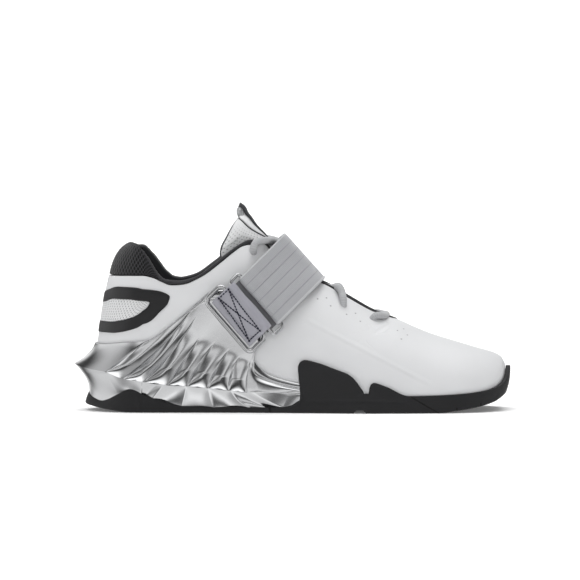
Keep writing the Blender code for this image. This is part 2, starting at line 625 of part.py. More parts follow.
def make_upper(finish, collection, up=6):
    """White shell on the true last: one wall, open at the collar, the throat and underneath."""
    grids = []
    for side in (-1, 1):
        columns = []
        for station in stations(-100, 100):
            foot = float(share_at(station, side, footbed(station) + FIT_GAP))
            t = foot + (top_share(station, side) - foot) * np.linspace(0, 1, up)
            r, z = wall(station, side, t)
            x, y = plan(station, side, r)
            columns.append(np.column_stack([np.broadcast_to(x, z.shape), y, z]))
        grids.append(np.array(columns))
    made = add_object("upper", grid_mesh("upper", grids), finish, collection)
    thicken(made, UPPER_WALL, -1)
    return made


def make_collar(finish, collection):
    """Padded collar: over the rim from the binding line and down the inside of the heel."""
    loops = []
    line_up = [(s, -1) for s in stations(-100, COLLAR_END, heel_step=14.3)[::-1]]
    line_up += [(s, 1) for s in stations(-100, COLLAR_END, heel_step=14.3)[1:]]
    for station, side in line_up:
        height = float(wall(station, side, 1.0)[1])
        start = top_share(station, side)
        tall = height - float(footbed(station))
        nudge = BINDING_GAP / tall
        low = float(share_at(station, side, height - COLLAR_DEPTH))
        low = min(low, start - 5 * nudge)
        back = UPPER_WALL + LINING_GAP
        lip = (start + nudge, 1.0)
        t = [lip[0], (lip[0] * 2 + 1) / 3, (lip[0] + 2) / 3, 1.0, 1.0]
        depth = [0, 0, 0, FIT_GAP, COLLAR_PAD * COLLAR_SHOULDER]
        t += [1 - 0.3 * (1 - low), 1 - 0.7 * (1 - low), low]
        depth += [COLLAR_PAD, COLLAR_PAD, back + COLLAR_HEM]
        t += [low, (low + start) / 2, start + nudge]
        depth += [back, back, back]
        r, z = wall(station, side, np.array(t), np.array(depth))
        x, y = plan(station, side, r)
        loops.append(np.column_stack([np.broadcast_to(x, z.shape), y, z]))
    mesh = grid_mesh("collar", [np.array(loops)], closed_across=True)
    fill_ends(mesh)
    return add_object("collar", mesh, finish, collection)


def make_heel_frame(finish, collection):
    """Raised band round the heel's mesh window, one closed loop round the back of the heel."""
    edges = [[skin(row[k], -1, row[k + 1] / 100 * COLLAR_HEIGHT) for row in LOOP_ROWS] for k in (0, 2)]
    reach = row_distances(*edges)
    places = list(split_rows(reach, 0.0068))
    corners = (("inner", 0.0, FRAME_SEAT), ("outer", 0.0, FRAME_SEAT),
               ("outer", 0.3, FRAME_RELIEF), ("inner", 0.3, FRAME_RELIEF))
    loop = []
    line_up = [(place, -1) for place in places] + [(place, 1) for place in places[::-1][1:-1]]
    for place, side in line_up + line_up[:1]:
        col = {name: by_row(LOOP_COLUMNS, LOOP_ROWS, name, place) for name in LOOP_COLUMNS}
        points = []
        for name, share, offset in corners:
            other = "inner" if name == "outer" else "outer"
            station = col[name] + (col[other] - col[name]) * share / 2
            height = col[name + "_height"] + (col[other + "_height"] - col[name + "_height"]) * share / 2
            points.append(skin(station, side, height / 100 * COLLAR_HEIGHT, offset))
        loop.append(points)
    mesh = grid_mesh("heel_frame", [np.array(loop)], closed_across=True)
    return add_object("heel_frame", mesh, finish, collection)


def make_insole(finish, collection):
    """Sockliner on the footbed, clear of the upper's wall."""
    inset = -(UPPER_WALL + PIECE_GAP)
    grids = []
    for side in (-1, 1):
        columns = []
        for station in stations(-100, 100, longest=6, heel_step=16.7):
            low = footbed(station) + FIT_GAP
            edge = skin(station, side, np.array([low, low + INSOLE_THICKNESS]), inset)
            edge[1, :2] = np.minimum(abs(edge[1, :2]), abs(edge[0, :2])) * np.sign(edge[1, :2])
            middle = np.array(plan(station, side, 0.0))
            if station >= 99.9:
                middle = edge[0, :2]
            columns.append([(*middle, low), edge[0], edge[1], (*middle, low + INSOLE_THICKNESS)])
        grids.append(np.array(columns))
    return add_object("insole", grid_mesh("insole", grids), finish, collection)


def tongue_base(place, across):
    """A point on the tongue's middle surface, across from -1 to 1, kept inside the upper and collar."""
    col = {name: float(by_row(TONGUE_COLUMNS, TONGUE_ROWS, name, place)) for name in TONGUE_COLUMNS}
    middle = np.array([col["middle"] / 100 * TOE_REACH, col["middle_height"] / 100 * TONGUE_HEIGHT])
    edge = np.array([col["edge"] / 100 * TOE_REACH, col["edge_height"] / 100 * TONGUE_HEIGHT])
    turn = abs(across) * math.pi / 2
    x, z = middle + (edge - middle) * (1 - math.cos(turn))
    y = col["width"] / 200 * TONGUE_WIDTH * math.sin(turn)
    station = x / TOE_REACH * 100
    in_collar = station < EYESTAY_START
    if z < float(wall(station, 1, 1.0)[1]) + COLLAR_PAD * in_collar:
        lining = COLLAR_PAD if in_collar else UPPER_WALL
        depth = lining + PIECE_GAP + TONGUE_THICKNESS / 2
        y = min([y] + [float(radius(station, side, z, depth)) for side in (-1, 1)])
    swing = float(by_station(BEND_COLUMNS, BEND_ROWS, "swing", station)) / 100 * BALL_WIDTH
    return np.array([x, swing + math.copysign(y, across), z])


def tongue_point(place, across, rise=0.0):
    """A point on the tongue at a rise off its middle surface, towards the front."""
    point = tongue_base(place, across)
    if rise == 0:
        return point
    last = len(TONGUE_ROWS) - 1
    along = tongue_base(min(place + 0.1, last), across) - tongue_base(max(place - 0.1, 0), across)
    sideways = tongue_base(place, across + 0.05) - tongue_base(place, across - 0.05)
    normal = np.cross(along, sideways)
    return point + normal / np.linalg.norm(normal) * math.copysign(rise, normal[0])


def make_tongue(finish, collection):
    """Padded tongue, arched across, its sides lying inside the upper."""
    places = np.linspace(0, len(TONGUE_ROWS) - 1, 15)
    spread = np.linspace(-1, 1, 9)
    grid = np.array([[tongue_point(place, across) for across in spread] for place in places])
    made = add_object("tongue", grid_mesh("tongue", [grid]), finish, collection)
    thicken(made, TONGUE_THICKNESS, 0)
    return made


def make_tongue_panel(finish, collection):
    """Plain panel on the tongue's front, standing past its tip."""
    grid = []
    lift = TONGUE_THICKNESS / 2 + PANEL_GAP + PANEL_THICKNESS / 2
    spread = np.linspace(-PANEL_HALF, PANEL_HALF, 5)
    for place in np.linspace(PANEL_START, len(TONGUE_ROWS) - 1, 6):
        grid.append([tongue_point(place, across, lift) for across in spread])
    grid = np.array(grid)
    onward = grid[-1] - grid[-2]
    tip = grid[-1] + onward / np.linalg.norm(onward, axis=1)[:, None] * PANEL_TIP
    grid = np.concatenate([grid, tip[None]])
    made = add_object("tongue_panel", grid_mesh("tongue_panel", [grid]), finish, collection)
    thicken(made, PANEL_THICKNESS, 0)
    return made


def wire(name, points, thickness, finish, collection, cyclic=False):
    """A round wire or cord through points, as a mesh with welded caps."""
    data = bpy.data.curves.new(name, "CURVE")
    data.dimensions = "3D"
    data.bevel_depth = thickness / 2
    data.bevel_resolution = 2
    data.use_fill_caps = True
    line = data.splines.new("POLY")
    line.points.add(len(points) - 1)
    for point, place in zip(line.points, points):
        point.co = (*place, 1.0)
    line.use_cyclic_u = cyclic
    guide = bpy.data.objects.new(name + "_guide", data)
    collection.objects.link(guide)
    evaluated = guide.evaluated_get(bpy.context.evaluated_depsgraph_get())
    mesh = bpy.data.meshes.new_from_object(evaluated)
    shell = bmesh.new()
    shell.from_mesh(mesh)
    bmesh.ops.remove_doubles(shell, verts=shell.verts, dist=1e-6)
    bmesh.ops.recalc_face_normals(shell, faces=shell.faces)
    shell.to_mesh(mesh)
    shell.free()
    mesh.name = name
    bpy.data.objects.remove(guide)
    bpy.data.curves.remove(data)
    return add_object(name, mesh, finish, collection)


def beside_rim(x, side, inset, clear):
    """A point clear of the wall, some way down from the rim, on the section at x."""
    station = x / TOE_REACH * 100
    tall = float(wall(station, side, 1.0)[1] - footbed(station))
    r, z = wall(station, side, 1 - inset / tall, -clear)
    px, py = plan(station, side, r)
    return np.array([float(px), float(py), float(z)])


def make_laces(finish, collection, cutters):
    """One bar and the crossings of a round lace, each crossing two runs joined where they meet."""
    clear = LACE_DIAMETER / 2 + CURVE_GAP + FIT_GAP
    off_tongue = TONGUE_THICKNESS / 2 + clear
    bulge = np.array([LACE_BAR_BULGE, 0.0, -LACE_BAR_BULGE / 3])
    ends = [[beside_rim(LACE_BAR_EYELET, side, inset, clear) + bulge * share
             for inset, share in ((EYELET_INSET, 0.3), (EYELET_INSET / 2, 0.75))] for side in (-1, 1)]
    station = LACE_BAR_EYELET / TOE_REACH * 100
    top = float(wall(station, 1, 1.0)[1]) + clear
    middle = np.array([LACE_BAR_EYELET, 0.0, top]) + bulge
    bar = curve_through(ends[0] + [middle] + ends[1][::-1], 11)
    made = [wire("lace_bar", bar, LACE_DIAMETER, finish, collection)]
    for name, eyelet, rear, over, crossing, end in LACE_ROWS:
        runs = []
        for side in (-1, 1):
            points = [beside_rim(eyelet, side, EYELET_INSET, clear)]
            points.append(beside_rim(rear, side, EYELET_INSET / 3, clear + FIT_GAP))
            points.append(beside_rim(over, side, 0.0, clear + FIT_GAP))
            points.append(tongue_point(crossing, 0.0, off_tongue))
            points.append(tongue_point(end, -side * LACE_SPREAD, off_tongue))
            if over > LACE_VAMP:
                points[3][2] = max(points[3][2], points[2][2] - clear / 4)
            runs.append(curve_through(points, 9))
        first = wire(name, runs[0], LACE_DIAMETER, finish, collection)
        second = wire(name + "_second_run", runs[1], LACE_DIAMETER, finish, cutters)
        second.hide_render = True
        second.display_type = "WIRE"
        join = first.modifiers.new("join", "BOOLEAN")
        join.operation = "UNION"
        join.solver = "EXACT"
        join.object = second
        made.append(first)
    return made


class StrapTrack:
    """The line that the strap lies on at one place across its width, in the plane of its slope."""

    def __init__(self, across):
        self.across = across
        self.along = np.array([math.cos(STRAP_SLOPE), math.sin(STRAP_SLOPE)])
        self.start = np.array([FOLD_X * TOE_REACH, FOLD_Z * COLLAR_HEIGHT])
        self.start = self.start + across * np.array([self.along[1], -self.along[0]])
        climb = np.linspace(-0.042, 0.06, 103)
        x = self.start[0] + climb * self.along[0]
        z = self.start[1] + climb * self.along[1]
        station = x / TOE_REACH * 100
        rim = wall(station, 1, np.ones(len(station)))[1]
        solid = (z < rim) & (station > 0)
        points = []
        for side in (-1, 1):
            out = radius(station[solid], side, z[solid])
            slope = np.gradient(out, climb[solid])
            size = np.hypot(1, slope)
            points += list(zip(side * (out + STRAP_LIFT / size), climb[solid] - STRAP_LIFT * slope / size))
        front = np.clip(across / STRAP_WIDTH + 0.5, 0, 1)
        hump = HUMP_REAR + (HUMP_FRONT - HUMP_REAR) * front
        points += [(0.0, hump), (-HUMP_HALF, hump - HUMP_FALL), (HUMP_HALF, hump - HUMP_FALL)]
        line = self.outline(points)
        fine = np.concatenate([[0], np.cumsum(np.linalg.norm(np.diff(line, axis=0), axis=1))])
        even = np.linspace(0, fine[-1], 400)
        spread = np.stack([np.interp(even, fine, line[:, k]) for k in range(2)], axis=1)
        kernel = np.hanning(31) / np.hanning(31).sum()
        before, after = 2 * spread[0] - spread[15:0:-1], 2 * spread[-1] - spread[-2:-17:-1]
        padded = np.concatenate([before, spread, after])
        self.line = np.stack([np.convolve(padded[:, k], kernel, "valid") for k in range(2)], axis=1)
        slope = np.gradient(self.line, axis=0)
        self.normal = np.stack([-slope[:, 1], slope[:, 0]], axis=1)
        self.normal /= np.linalg.norm(self.normal, axis=1)[:, None]
        outer_half = self.line[:, 0] < 0
        zero = np.interp(0.0, self.line[outer_half, 1], even[outer_half])
        self.length = even - zero

    @staticmethod
    def outline(points):
        """Convex outline over the points, from the lowest outer one to the lowest inner one."""
        lowest = min(q for _, q in points)
        ends = {(pick(p[0] for p in points), lowest - FIT_GAP) for pick in (min, max)}
        points = sorted(set(points) | ends)
        kept = []
        for point in points:
            while len(kept) > 1:
                a, b = kept[-2], kept[-1]
                turn = (b[0] - a[0]) * (point[1] - a[1]) - (b[1] - a[1]) * (point[0] - a[0])
                if turn < 0:
                    break
                kept.pop()
            kept.append(point)
        return np.array(kept)

    def point(self, length, lift):
        """A point in the world at a length round the foot and a lift off the track."""
        y, q = (np.interp(length, self.length, self.line[:, k]) for k in range(2))
        ny, nq = (np.interp(length, self.length, self.normal[:, k]) for k in range(2))
        y, q = y + lift * ny, q + lift * nq
        return (self.start[0] + q * self.along[0], y, self.start[1] + q * self.along[1])


def fold(centre, lift, bend, first, last, count=7):
    """Points round a bar, in length and lift, from one angle to another in degrees."""
    turns = np.radians(np.linspace(first, last, count))
    return [(centre + bend * math.cos(a), lift + bend * math.sin(a)) for a in turns]


def strap_path():
    """Length and lift of the strap's middle, from its end on the inner side, round the ring and back."""
    under = FIT_GAP + STRAP_THICKNESS / 2
    over = under + STRAP_THICKNESS + FIT_GAP
    bend = RING_WIRE / 2 + FIT_GAP + STRAP_THICKNESS / 2
    path = [(length, under) for length in np.linspace(UNDER_LENGTH, 2 * TURN_LENGTH, 13)]
    path += [(TURN_LENGTH, under + FIT_GAP)]
    path += fold(RING_RIGHT, RING_LOW, bend, 270, 90)
    path += [(TURN_LENGTH, RING_LOW + bend - 2 * FIT_GAP), (2 * TURN_LENGTH, over + 4 * FIT_GAP)]
    path += [(length, over) for length in np.linspace(4 * TURN_LENGTH, OVER_LENGTH, 10)]
    return path


def make_ribbon(name, path, half, tilt, thickness, finish, collection, shift=0.0):
    """A ribbon along a path of lengths and lifts, across its width, with its real thickness."""
    grid = []
    for across in np.linspace(-half, half, 5) + shift:
        track = StrapTrack(across)
        grid.append([track.point(length + tilt(length) * across, lift) for length, lift in path])
    made = add_object(name, grid_mesh(name, [np.array(grid)]), finish, collection)
    thicken(made, thickness, 0)
    return made


def skewed(length):
    """How much a place near the fold leans with the distance across the strap."""
    return STRAP_SKEW * float(np.clip((0.03 - length) / 0.02, 0, 1))


def make_strap(finish, collection):
    """Elastic strap: over the instep, round the ring and back over itself."""
    return make_ribbon("strap", strap_path(), STRAP_WIDTH / 2, skewed, STRAP_THICKNESS, finish, collection)


def make_strap_tab(finish, collection):
    """Webbing tab, two plies sewn together in the frame and looped round the ring."""
    ply = WEBBING_THICKNESS
    bend = RING_WIRE / 2 + FIT_GAP + ply / 2
    low, high = FIT_GAP + ply / 2, FIT_GAP + PLY_GAP + ply * 1.5
    step = ply + PLY_GAP
    crossing = FIT_GAP + FRAME_WIRE + FIT_GAP + ply / 2
    path = [(TAB_END, low), (TAB_END + TAB_TURN, low), (TAB_PARTING - TAB_TURN, low + ply)]
    path += [(TAB_PARTING, crossing)]
    path += fold(RING_LEFT, RING_HIGH, bend, -90, 90)
    path += [(TAB_PARTING + ply, RING_HIGH + bend - ply), (TAB_PARTING - FIT_GAP, crossing + step)]
    path += [(TAB_PARTING - TAB_TURN - ply, high + ply), (TAB_END + TAB_TURN, high), (TAB_END, high)]
    return make_ribbon("strap_tab", path, TAB_HALF, skewed, ply, finish, collection, TAB_SHIFT)


def rounded_loop(left, right, half, corner):
    """Length and across of a rounded rectangle's outline."""
    points = []
    corners = ((right - corner, half - corner, 0), (left + corner, half - corner, 90),
               (left + corner, -half + corner, 180), (right - corner, -half + corner, 270))
    for k, (length, across, first) in enumerate(corners):
        for turn in np.radians(np.linspace(first, first + 90, 4)):
            points.append((length + corner * math.cos(turn), across + corner * math.sin(turn)))
        if k % 2:
            side = left if k == 1 else right
            points += [(side, across * share) for share in (0.5, 0.0, -0.5)]
    return points


def make_ring(name, left, right, half, shift, lifts, thickness, finish, collection):
    """A wire ring that lies over the wing, its two long sides at their own lifts."""
    points = []
    for length, across in rounded_loop(left, right, half, (right - left) * 0.25):
        share = (length - left) / (right - left)
        track = StrapTrack(across + shift)
        lift = lifts[0] + (lifts[1] - lifts[0]) * share
        points.append(track.point(length + skewed(length) * (across + shift), lift))
    return wire(name, points, thickness, finish, collection, cyclic=True)


def main():
    """Build every piece of the shoe."""
    for thing in list(bpy.data.objects):
        bpy.data.objects.remove(thing, do_unlink=True)
    shoe = bpy.data.collections.new("weightlifting_shoe")
    cutters = bpy.data.collections.new("cutters")
    for collection in (shoe, cutters):
        bpy.context.scene.collection.children.link(collection)
    rubber = material("black_rubber", (0.02, 0.02, 0.022), 0.6)
    chrome = material("plated_heel", (0.75, 0.76, 0.78), 0.18, 1.0)
    white = material("white_synthetic", (0.78, 0.79, 0.80), 0.45)
    lining = material("black_mesh_collar", (0.03, 0.03, 0.033), 0.8)
    band = material("black_frame", (0.02, 0.02, 0.022), 0.5)
    mesh_white = material("white_mesh_tongue", (0.75, 0.76, 0.77), 0.7)
    panel = material("dark_tongue_panel", (0.08, 0.08, 0.085), 0.5)
    liner = material("dark_insole", (0.10, 0.10, 0.11), 0.85)
    cord = material("grey_lace", (0.38, 0.39, 0.41), 0.75)
    elastic = material("grey_elastic", (0.32, 0.33, 0.35), 0.8)
    webbing = material("grey_webbing", (0.30, 0.30, 0.34), 0.7)
    steel = material("ring_wire", (0.72, 0.73, 0.75), 0.15, 1.0)
    bright = material("frame_wire", (0.74, 0.75, 0.77), 0.15, 1.0)
    make_outsole(rubber, shoe)
    make_heel_clip(chrome, shoe)
    make_upper(white, shoe)
    make_collar(lining, shoe)
    make_heel_frame(band, shoe)
    make_insole(liner, shoe)
    make_tongue(mesh_white, shoe)
    make_tongue_panel(panel, shoe)
    make_laces(cord, shoe, cutters)
    make_strap(elastic, shoe)
    make_strap_tab(webbing, shoe)
    half = STRAP_WIDTH / 2 + RING_OVERHANG
    make_ring("strap_ring", RING_LEFT, RING_RIGHT, half, 0.0, (RING_HIGH, RING_LOW), RING_WIRE, steel, shoe)
    lift = FIT_GAP + FRAME_WIRE / 2
    half = FRAME_LENGTH / 2
    lifts = (lift, lift)
    make_ring("tab_frame", FRAME_LEFT, TAB_PARTING, half, FRAME_SHIFT, lifts, FRAME_WIRE, bright, shoe)


main()
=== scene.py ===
"""Looks of a weightlifting shoe for the right foot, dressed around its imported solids.

Metres, +X to the toe, -Y the outer side, +Z up, with the origin on the floor under the middle of the heel.
A station says where a section stands: from 0 to 100 it is a share of the toe's reach along X, and from 0
down to -100 the section turns about the heel's middle, from the side of the heel to its back.
"""
from __future__ import annotations

import json
import logging
import math
from dataclasses import dataclass
from enum import Enum
from typing import Sequence

import bmesh
import bpy
import numpy as np
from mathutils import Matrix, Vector

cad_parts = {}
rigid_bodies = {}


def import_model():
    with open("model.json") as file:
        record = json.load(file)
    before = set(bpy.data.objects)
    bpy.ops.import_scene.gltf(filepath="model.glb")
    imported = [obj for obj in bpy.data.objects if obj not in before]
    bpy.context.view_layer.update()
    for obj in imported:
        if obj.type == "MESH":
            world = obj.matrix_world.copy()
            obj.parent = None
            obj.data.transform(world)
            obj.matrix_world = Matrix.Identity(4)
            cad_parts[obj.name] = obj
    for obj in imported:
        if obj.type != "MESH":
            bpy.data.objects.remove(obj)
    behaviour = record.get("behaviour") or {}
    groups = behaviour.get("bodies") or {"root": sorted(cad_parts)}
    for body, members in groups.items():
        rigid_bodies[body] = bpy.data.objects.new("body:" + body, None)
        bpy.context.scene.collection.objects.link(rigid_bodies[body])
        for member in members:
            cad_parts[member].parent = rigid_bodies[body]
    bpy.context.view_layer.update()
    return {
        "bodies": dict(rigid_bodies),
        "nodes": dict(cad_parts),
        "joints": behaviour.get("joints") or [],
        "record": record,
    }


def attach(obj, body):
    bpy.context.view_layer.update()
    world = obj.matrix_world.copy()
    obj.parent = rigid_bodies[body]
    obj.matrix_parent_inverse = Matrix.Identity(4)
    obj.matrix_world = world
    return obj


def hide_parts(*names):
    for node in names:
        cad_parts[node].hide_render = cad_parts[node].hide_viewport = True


log = logging.getLogger("shoe")
Array = np.ndarray
Number = np.ndarray | float
Side = np.ndarray | int
Colour = tuple[float, float, float]
Paint = Colour | bpy.types.NodeSocket


def smooth_read(xs: Sequence[float], ys: Sequence[float], x: Number) -> Array:
    """Read values along a smooth curve that never overshoots them.

    Args:
        xs: Rising places of the values.
        ys: The values.
        x: Where to read.

    Returns:
        The curve's value at each x.
    """
    xs, ys = np.asarray(xs, float), np.asarray(ys, float)
    span = np.diff(xs)
    rise = np.diff(ys) / span
    slope = np.zeros(len(xs))
    before, after = rise[:-1], rise[1:]
    same = before * after > 0
    near, far = 2 * span[1:] + span[:-1], span[1:] + 2 * span[:-1]
    blend = near / np.where(same, before, 1) + far / np.where(same, after, 1)
    slope[1:-1] = np.where(same, (near + far) / np.where(same, blend, 1), 0)
    slope[-1] = rise[-1]
    x = np.clip(np.asarray(x, float), xs[0], xs[-1])
    i = np.clip(np.searchsorted(xs, x, side="right") - 1, 0, len(xs) - 2)
    t = (x - xs[i]) / span[i]
    start = (2 * t ** 3 - 3 * t ** 2 + 1) * ys[i] + (t ** 3 - 2 * t ** 2 + t) * span[i] * slope[i]
    end = (3 * t ** 2 - 2 * t ** 3) * ys[i + 1] + (t ** 3 - t ** 2) * span[i] * slope[i + 1]
    return start + end


def read_pairs(pairs: Sequence[tuple[float, float]], x: Number) -> Array:
    """Read a smooth curve through pairs of a place and its value."""
    places, values = zip(*pairs)
    return smooth_read(places, values, x)


def share_between(x: Number, low: float, high: float) -> Array:
    """A straight rise from 0 at low to 1 at high, level beyond them."""
    return np.clip((x - low) / (high - low), 0, 1)


def rounding(share: Number) -> Array:
    """How far a quarter circle lies under its top: 1 at 0 and 0 from 1 on."""
    return 1 - np.sqrt(1 - (1 - np.clip(share, 0, 1)) ** 2)


def unit(vectors: Array) -> Array:
    """The directions of vectors."""
    return vectors / np.linalg.norm(vectors, axis=-1)[..., None]


def run_lengths(line: Array) -> Array:
    """Length from a line's first point to each of its points."""
    return np.concatenate([[0], np.cumsum(np.linalg.norm(np.diff(line, axis=0), axis=1))])


def left_of(line: Array) -> Array:
    """Directions square to a flat line, to the left of it."""
    ahead = np.gradient(line, axis=0)
    return unit(np.stack([-ahead[:, 1], ahead[:, 0]], axis=1))


def evenly(line: Array, count: int) -> Array:
    """Points spread evenly along a line."""
    run = run_lengths(line)
    at = np.linspace(0, run[-1], count)
    return np.stack([np.interp(at, run, column) for column in line.T], axis=1)


def eased(line: Array, reach: int) -> Array:
    """A line with its corners eased over a number of points to either side and its ends kept."""
    kernel = np.hanning(2 * reach + 1)
    kernel /= kernel.sum()
    before, after = 2 * line[0] - line[reach:0:-1], 2 * line[-1] - line[-2:-reach - 2:-1]
    padded = np.concatenate([before, line, after])
    return np.stack([np.convolve(column, kernel, "valid") for column in padded.T], axis=1)


@dataclass(frozen=True)
class Table:
    """Given values, with a name for each column."""

    columns: tuple[str, ...]
    rows: tuple[tuple[float, ...], ...]

    def column(self, name: str) -> list[float]:
        """A column's values, top to bottom."""
        k = self.columns.index(name)
        return [row[k] for row in self.rows]

    def at(self, name: str, station: Number) -> Array:
        """A column at a station, which is the first column."""
        return smooth_read(self.column(self.columns[0]), self.column(name), station)

    def between(self, name: str, place: Number) -> Array:
        """A column between rows, where place counts the rows from 0."""
        return smooth_read(range(len(self.rows)), self.column(name), place)


# Outer, inner and rim in percent of the local width, height of the collar's, rise and reach as shares of
# the section's own length, lean and brow in degrees.
UPPER = Table(
    ("station", "outer", "inner", "rim", "height", "lean", "rise", "brow", "reach"),
    (
        (-100, 48.8, 48.8, 13.4, 98.2, 10.0, 0.54, 27, 0.20),
        (-67, 48.9, 48.9, 15.4, 98.1, 9.0, 0.52, 30, 0.20),
        (-33, 49.3, 49.3, 23.6, 97.8, 6.0, 0.45, 45, 0.22),
        (-11, 49.7, 49.7, 34.2, 96.2, 3.0, 0.40, 65, 0.26),
        (0, 50.0, 50.0, 39.0, 94.1, 2.0, 0.40, 75, 0.30),
        (2, 49.8, 49.7, 40.5, 87.8, 1.0, 0.39, 78, 0.30),
        (4, 49.4, 49.1, 41.2, 81.1, 0.0, 0.38, 79, 0.30),
        (6.3, 48.6, 48.0, 41.2, 77.2, -1.0, 0.36, 80, 0.30),
        (9.8, 47.3, 46.0, 40.9, 76.4, -3.0, 0.35, 80, 0.30),
        (13.8, 46.2, 43.7, 39.1, 78.2, -3.0, 0.35, 78, 0.30),
        (19.7, 45.0, 40.7, 35.3, 86.5, -2.0, 0.35, 72, 0.30),
        (23.6, 44.3, 39.1, 31.5, 93.2, 0.0, 0.35, 68, 0.30),
        (26.8, 44.1, 37.9, 27.4, 97.8, 1.0, 0.35, 64, 0.30),
        (29.5, 44.2, 37.1, 24.2, 100.3, 2.0, 0.35, 60, 0.30),
        (32.7, 44.3, 36.4, 19.8, 99.3, 3.0, 0.35, 56, 0.30),
        (36, 44.6, 35.9, 16.8, 92.5, 3.0, 0.35, 52, 0.31),
        (41.3, 45.1, 36.7, 14.7, 84.0, 2.0, 0.35, 45, 0.32),
        (46, 45.9, 37.6, 13.7, 77.4, 1.5, 0.35, 40, 0.33),
        (50, 46.5, 38.5, 13.0, 74.4, 1.0, 0.36, 36, 0.34),
        (56.3, 49.0, 43.0, 12.0, 66.7, -1.0, 0.37, 30, 0.36),
        (63.8, 50.5, 47.0, 9.5, 57.9, -2.0, 0.38, 20, 0.38),
        (68.1, 50.5, 48.5, 5.0, 54.6, -3.0, 0.38, 8, 0.40),
        (69.9, 50.6, 48.5, 0.0, 53.3, -3.0, 0.38, 0, 0.41),
        (74.4, 51.0, 48.5, 0.0, 49.0, -4.0, 0.38, 0, 0.42),
        (80, 50.5, 48.0, 0.0, 44.2, -4.0, 0.38, 0, 0.42),
        (86.2, 50.5, 48.0, 0.0, 40.1, -4.0, 0.38, 0, 0.42),
        (92.5, 50.5, 48.0, 0.0, 36.0, -4.0, 0.38, 0, 0.42),
        (96.9, 50.5, 48.0, 0.0, 33.3, -4.0, 0.38, 0, 0.42),
        (98.9, 50.5, 48.0, 0.0, 30.8, -4.0, 0.38, 0, 0.42),
        (100, 50.5, 48.0, 0.0, 26.6, -4.0, 0.38, 0, 0.42),
    ),
)
BEND = Table(("station", "swing"), ((0, 0.0), (40, 0.0), (60, 0.5), (70, 1.5), (85, 4.5), (100, 9.0)))
DROP = Table(
    ("station", "drop"),
    (
        (-100, 1.0), (0, 1.0), (12, 0.92), (24, 0.63), (36, 0.32), (47, 0.12), (59, 0.01), (75, 0.0),
        (100, 0.0),
    ),
)
SPRING = Table(
    ("station", "spring"),
    ((60, 0.0), (81, 0.0), (86, 0.12), (90.5, 0.26), (96.8, 0.6), (100, 1.0), (103, 1.4)),
)

# Where the white wall ends and the collar starts, in percent of the collar's height
BINDING = Table(
    ("station", "height"),
    (
        (-100, 78.9), (-50, 79.1), (0, 79.5), (2.9, 78.2), (5.2, 76.0), (8, 74.0), (10.7, 74.3), (16.5, 79.3),
        (19.8, 84.2), (22.6, 89.0), (25.4, 93.7), (27.6, 96.6), (29.5, 97.3), (31.1, 97.0), (33, 96.0),
    ),
)

# Outsole's top edge: its station, height in percent of the lobes' and the station below it on the floor
RIM = Table(
    ("top", "height", "ground"),
    (
        (-100, 35.1, -100), (-71.6, 25.9, -72), (-55, 21.4, -55), (-45, 24.3, -45), (-29.6, 35.1, -30),
        (-14.4, 45.1, -14.4), (-1.2, 36.5, -1), (4.6, 24.3, 4.6), (9.8, 14.3, 9.8), (14.3, 10.8, 14.3),
        (21.3, 10.5, 21.3), (28.3, 10.5, 28.3), (33.2, 10.6, 33.2), (37.2, 10.8, 37), (40.7, 12.4, 40),
        (42.5, 18.4, 41), (44.1, 27.6, 41.8), (44.3, 37, 42.4), (43.8, 48.4, 43), (43.3, 67.3, 43.6),
        (42.8, 84.3, 44.2), (43.2, 94.6, 44.8), (44.7, 100, 46), (48.3, 94.6, 48.8), (52.5, 84.3, 52.5),
        (56.3, 74.3, 56.3), (58, 65.7, 57.9), (60.6, 41.6, 59.6), (60.9, 37.8, 60.3), (62, 37.8, 61.4),
        (62.3, 48.4, 62.4), (62.7, 54.9, 63), (63.7, 57.8, 64), (67.2, 49.7, 67.2), (73.2, 33, 73.2),
        (80, 33.8, 80), (88.4, 36.8, 88.4), (94.7, 42.4, 94.7), (98.1, 52.7, 98.1), (99.7, 70, 99.6),
        (100, 83, 100),
    ),
)

# How far the outsole's side stands out from the upper, in percent of its flare
FLARE = Table(
    ("station", "foot", "belly", "lip"),
    (
        (-100, 100, 90, 46), (-50, 88, 78, 46), (0, 72, 62, 46), (20, 42, 42, 46), (45, 46, 64, 60),
        (62, 46, 60, 50), (80, 46, 56, 36), (92, 34, 62, 40), (97, 20, 74, 62), (100, 10, 80, 72),
    ),
)

# Heel clip: a row for each rib or edge, from its foot over the crest and a bend to its top. Heights are in
# percent of the heel's stack at the crest and of the collar's height above it, flare of the clip's own.
CLIP = Table(
    ("foot", "crest", "crest_height", "bend", "bend_height", "top", "top_height", "flare"),
    (
        (-100, -100, 121.0, -100, 32.0, -100, 39.4, 100),
        (-71.6, -74, 114.5, -67, 31.8, -61, 39.6, 83),
        (-45, -53, 108.0, -38, 33.0, -21, 41.0, 65),
        (-29.6, -40, 103.7, -18, 33.4, 1.4, 42.2, 56),
        (-14.4, -20, 88.0, 6.5, 38.0, 14.9, 64.2, 51),
        (-1.2, 0.6, 80.4, 9.4, 35.5, 19.3, 71.1, 51),
        (4.6, 6.8, 73.0, 13.8, 36.0, 24.0, 71.7, 51),
        (9.8, 12.3, 69.6, 17.3, 35.3, 28.1, 64.7, 49),
        (14.3, 18.0, 64.8, 21.2, 32.9, 31.1, 56.5, 47),
        (21.3, 23.9, 58.9, 23.8, 30.9, 33.3, 47.7, 43),
        (28.3, 28.8, 54.4, 28.5, 30.3, 32.2, 40.7, 40),
        (33.2, 32.8, 54.0, 30.6, 22.0, 30.6, 31.9, 36),
        (37.2, 38.3, 51.9, 36.1, 17.3, 34.4, 22.8, 27),
        (40.7, 43.3, 48.1, 43.2, 14.4, 42.3, 17.6, 17),
        (44.0, 45.4, 48.1, 45.2, 14.2, 44.9, 16.8, 10),
    ),
)

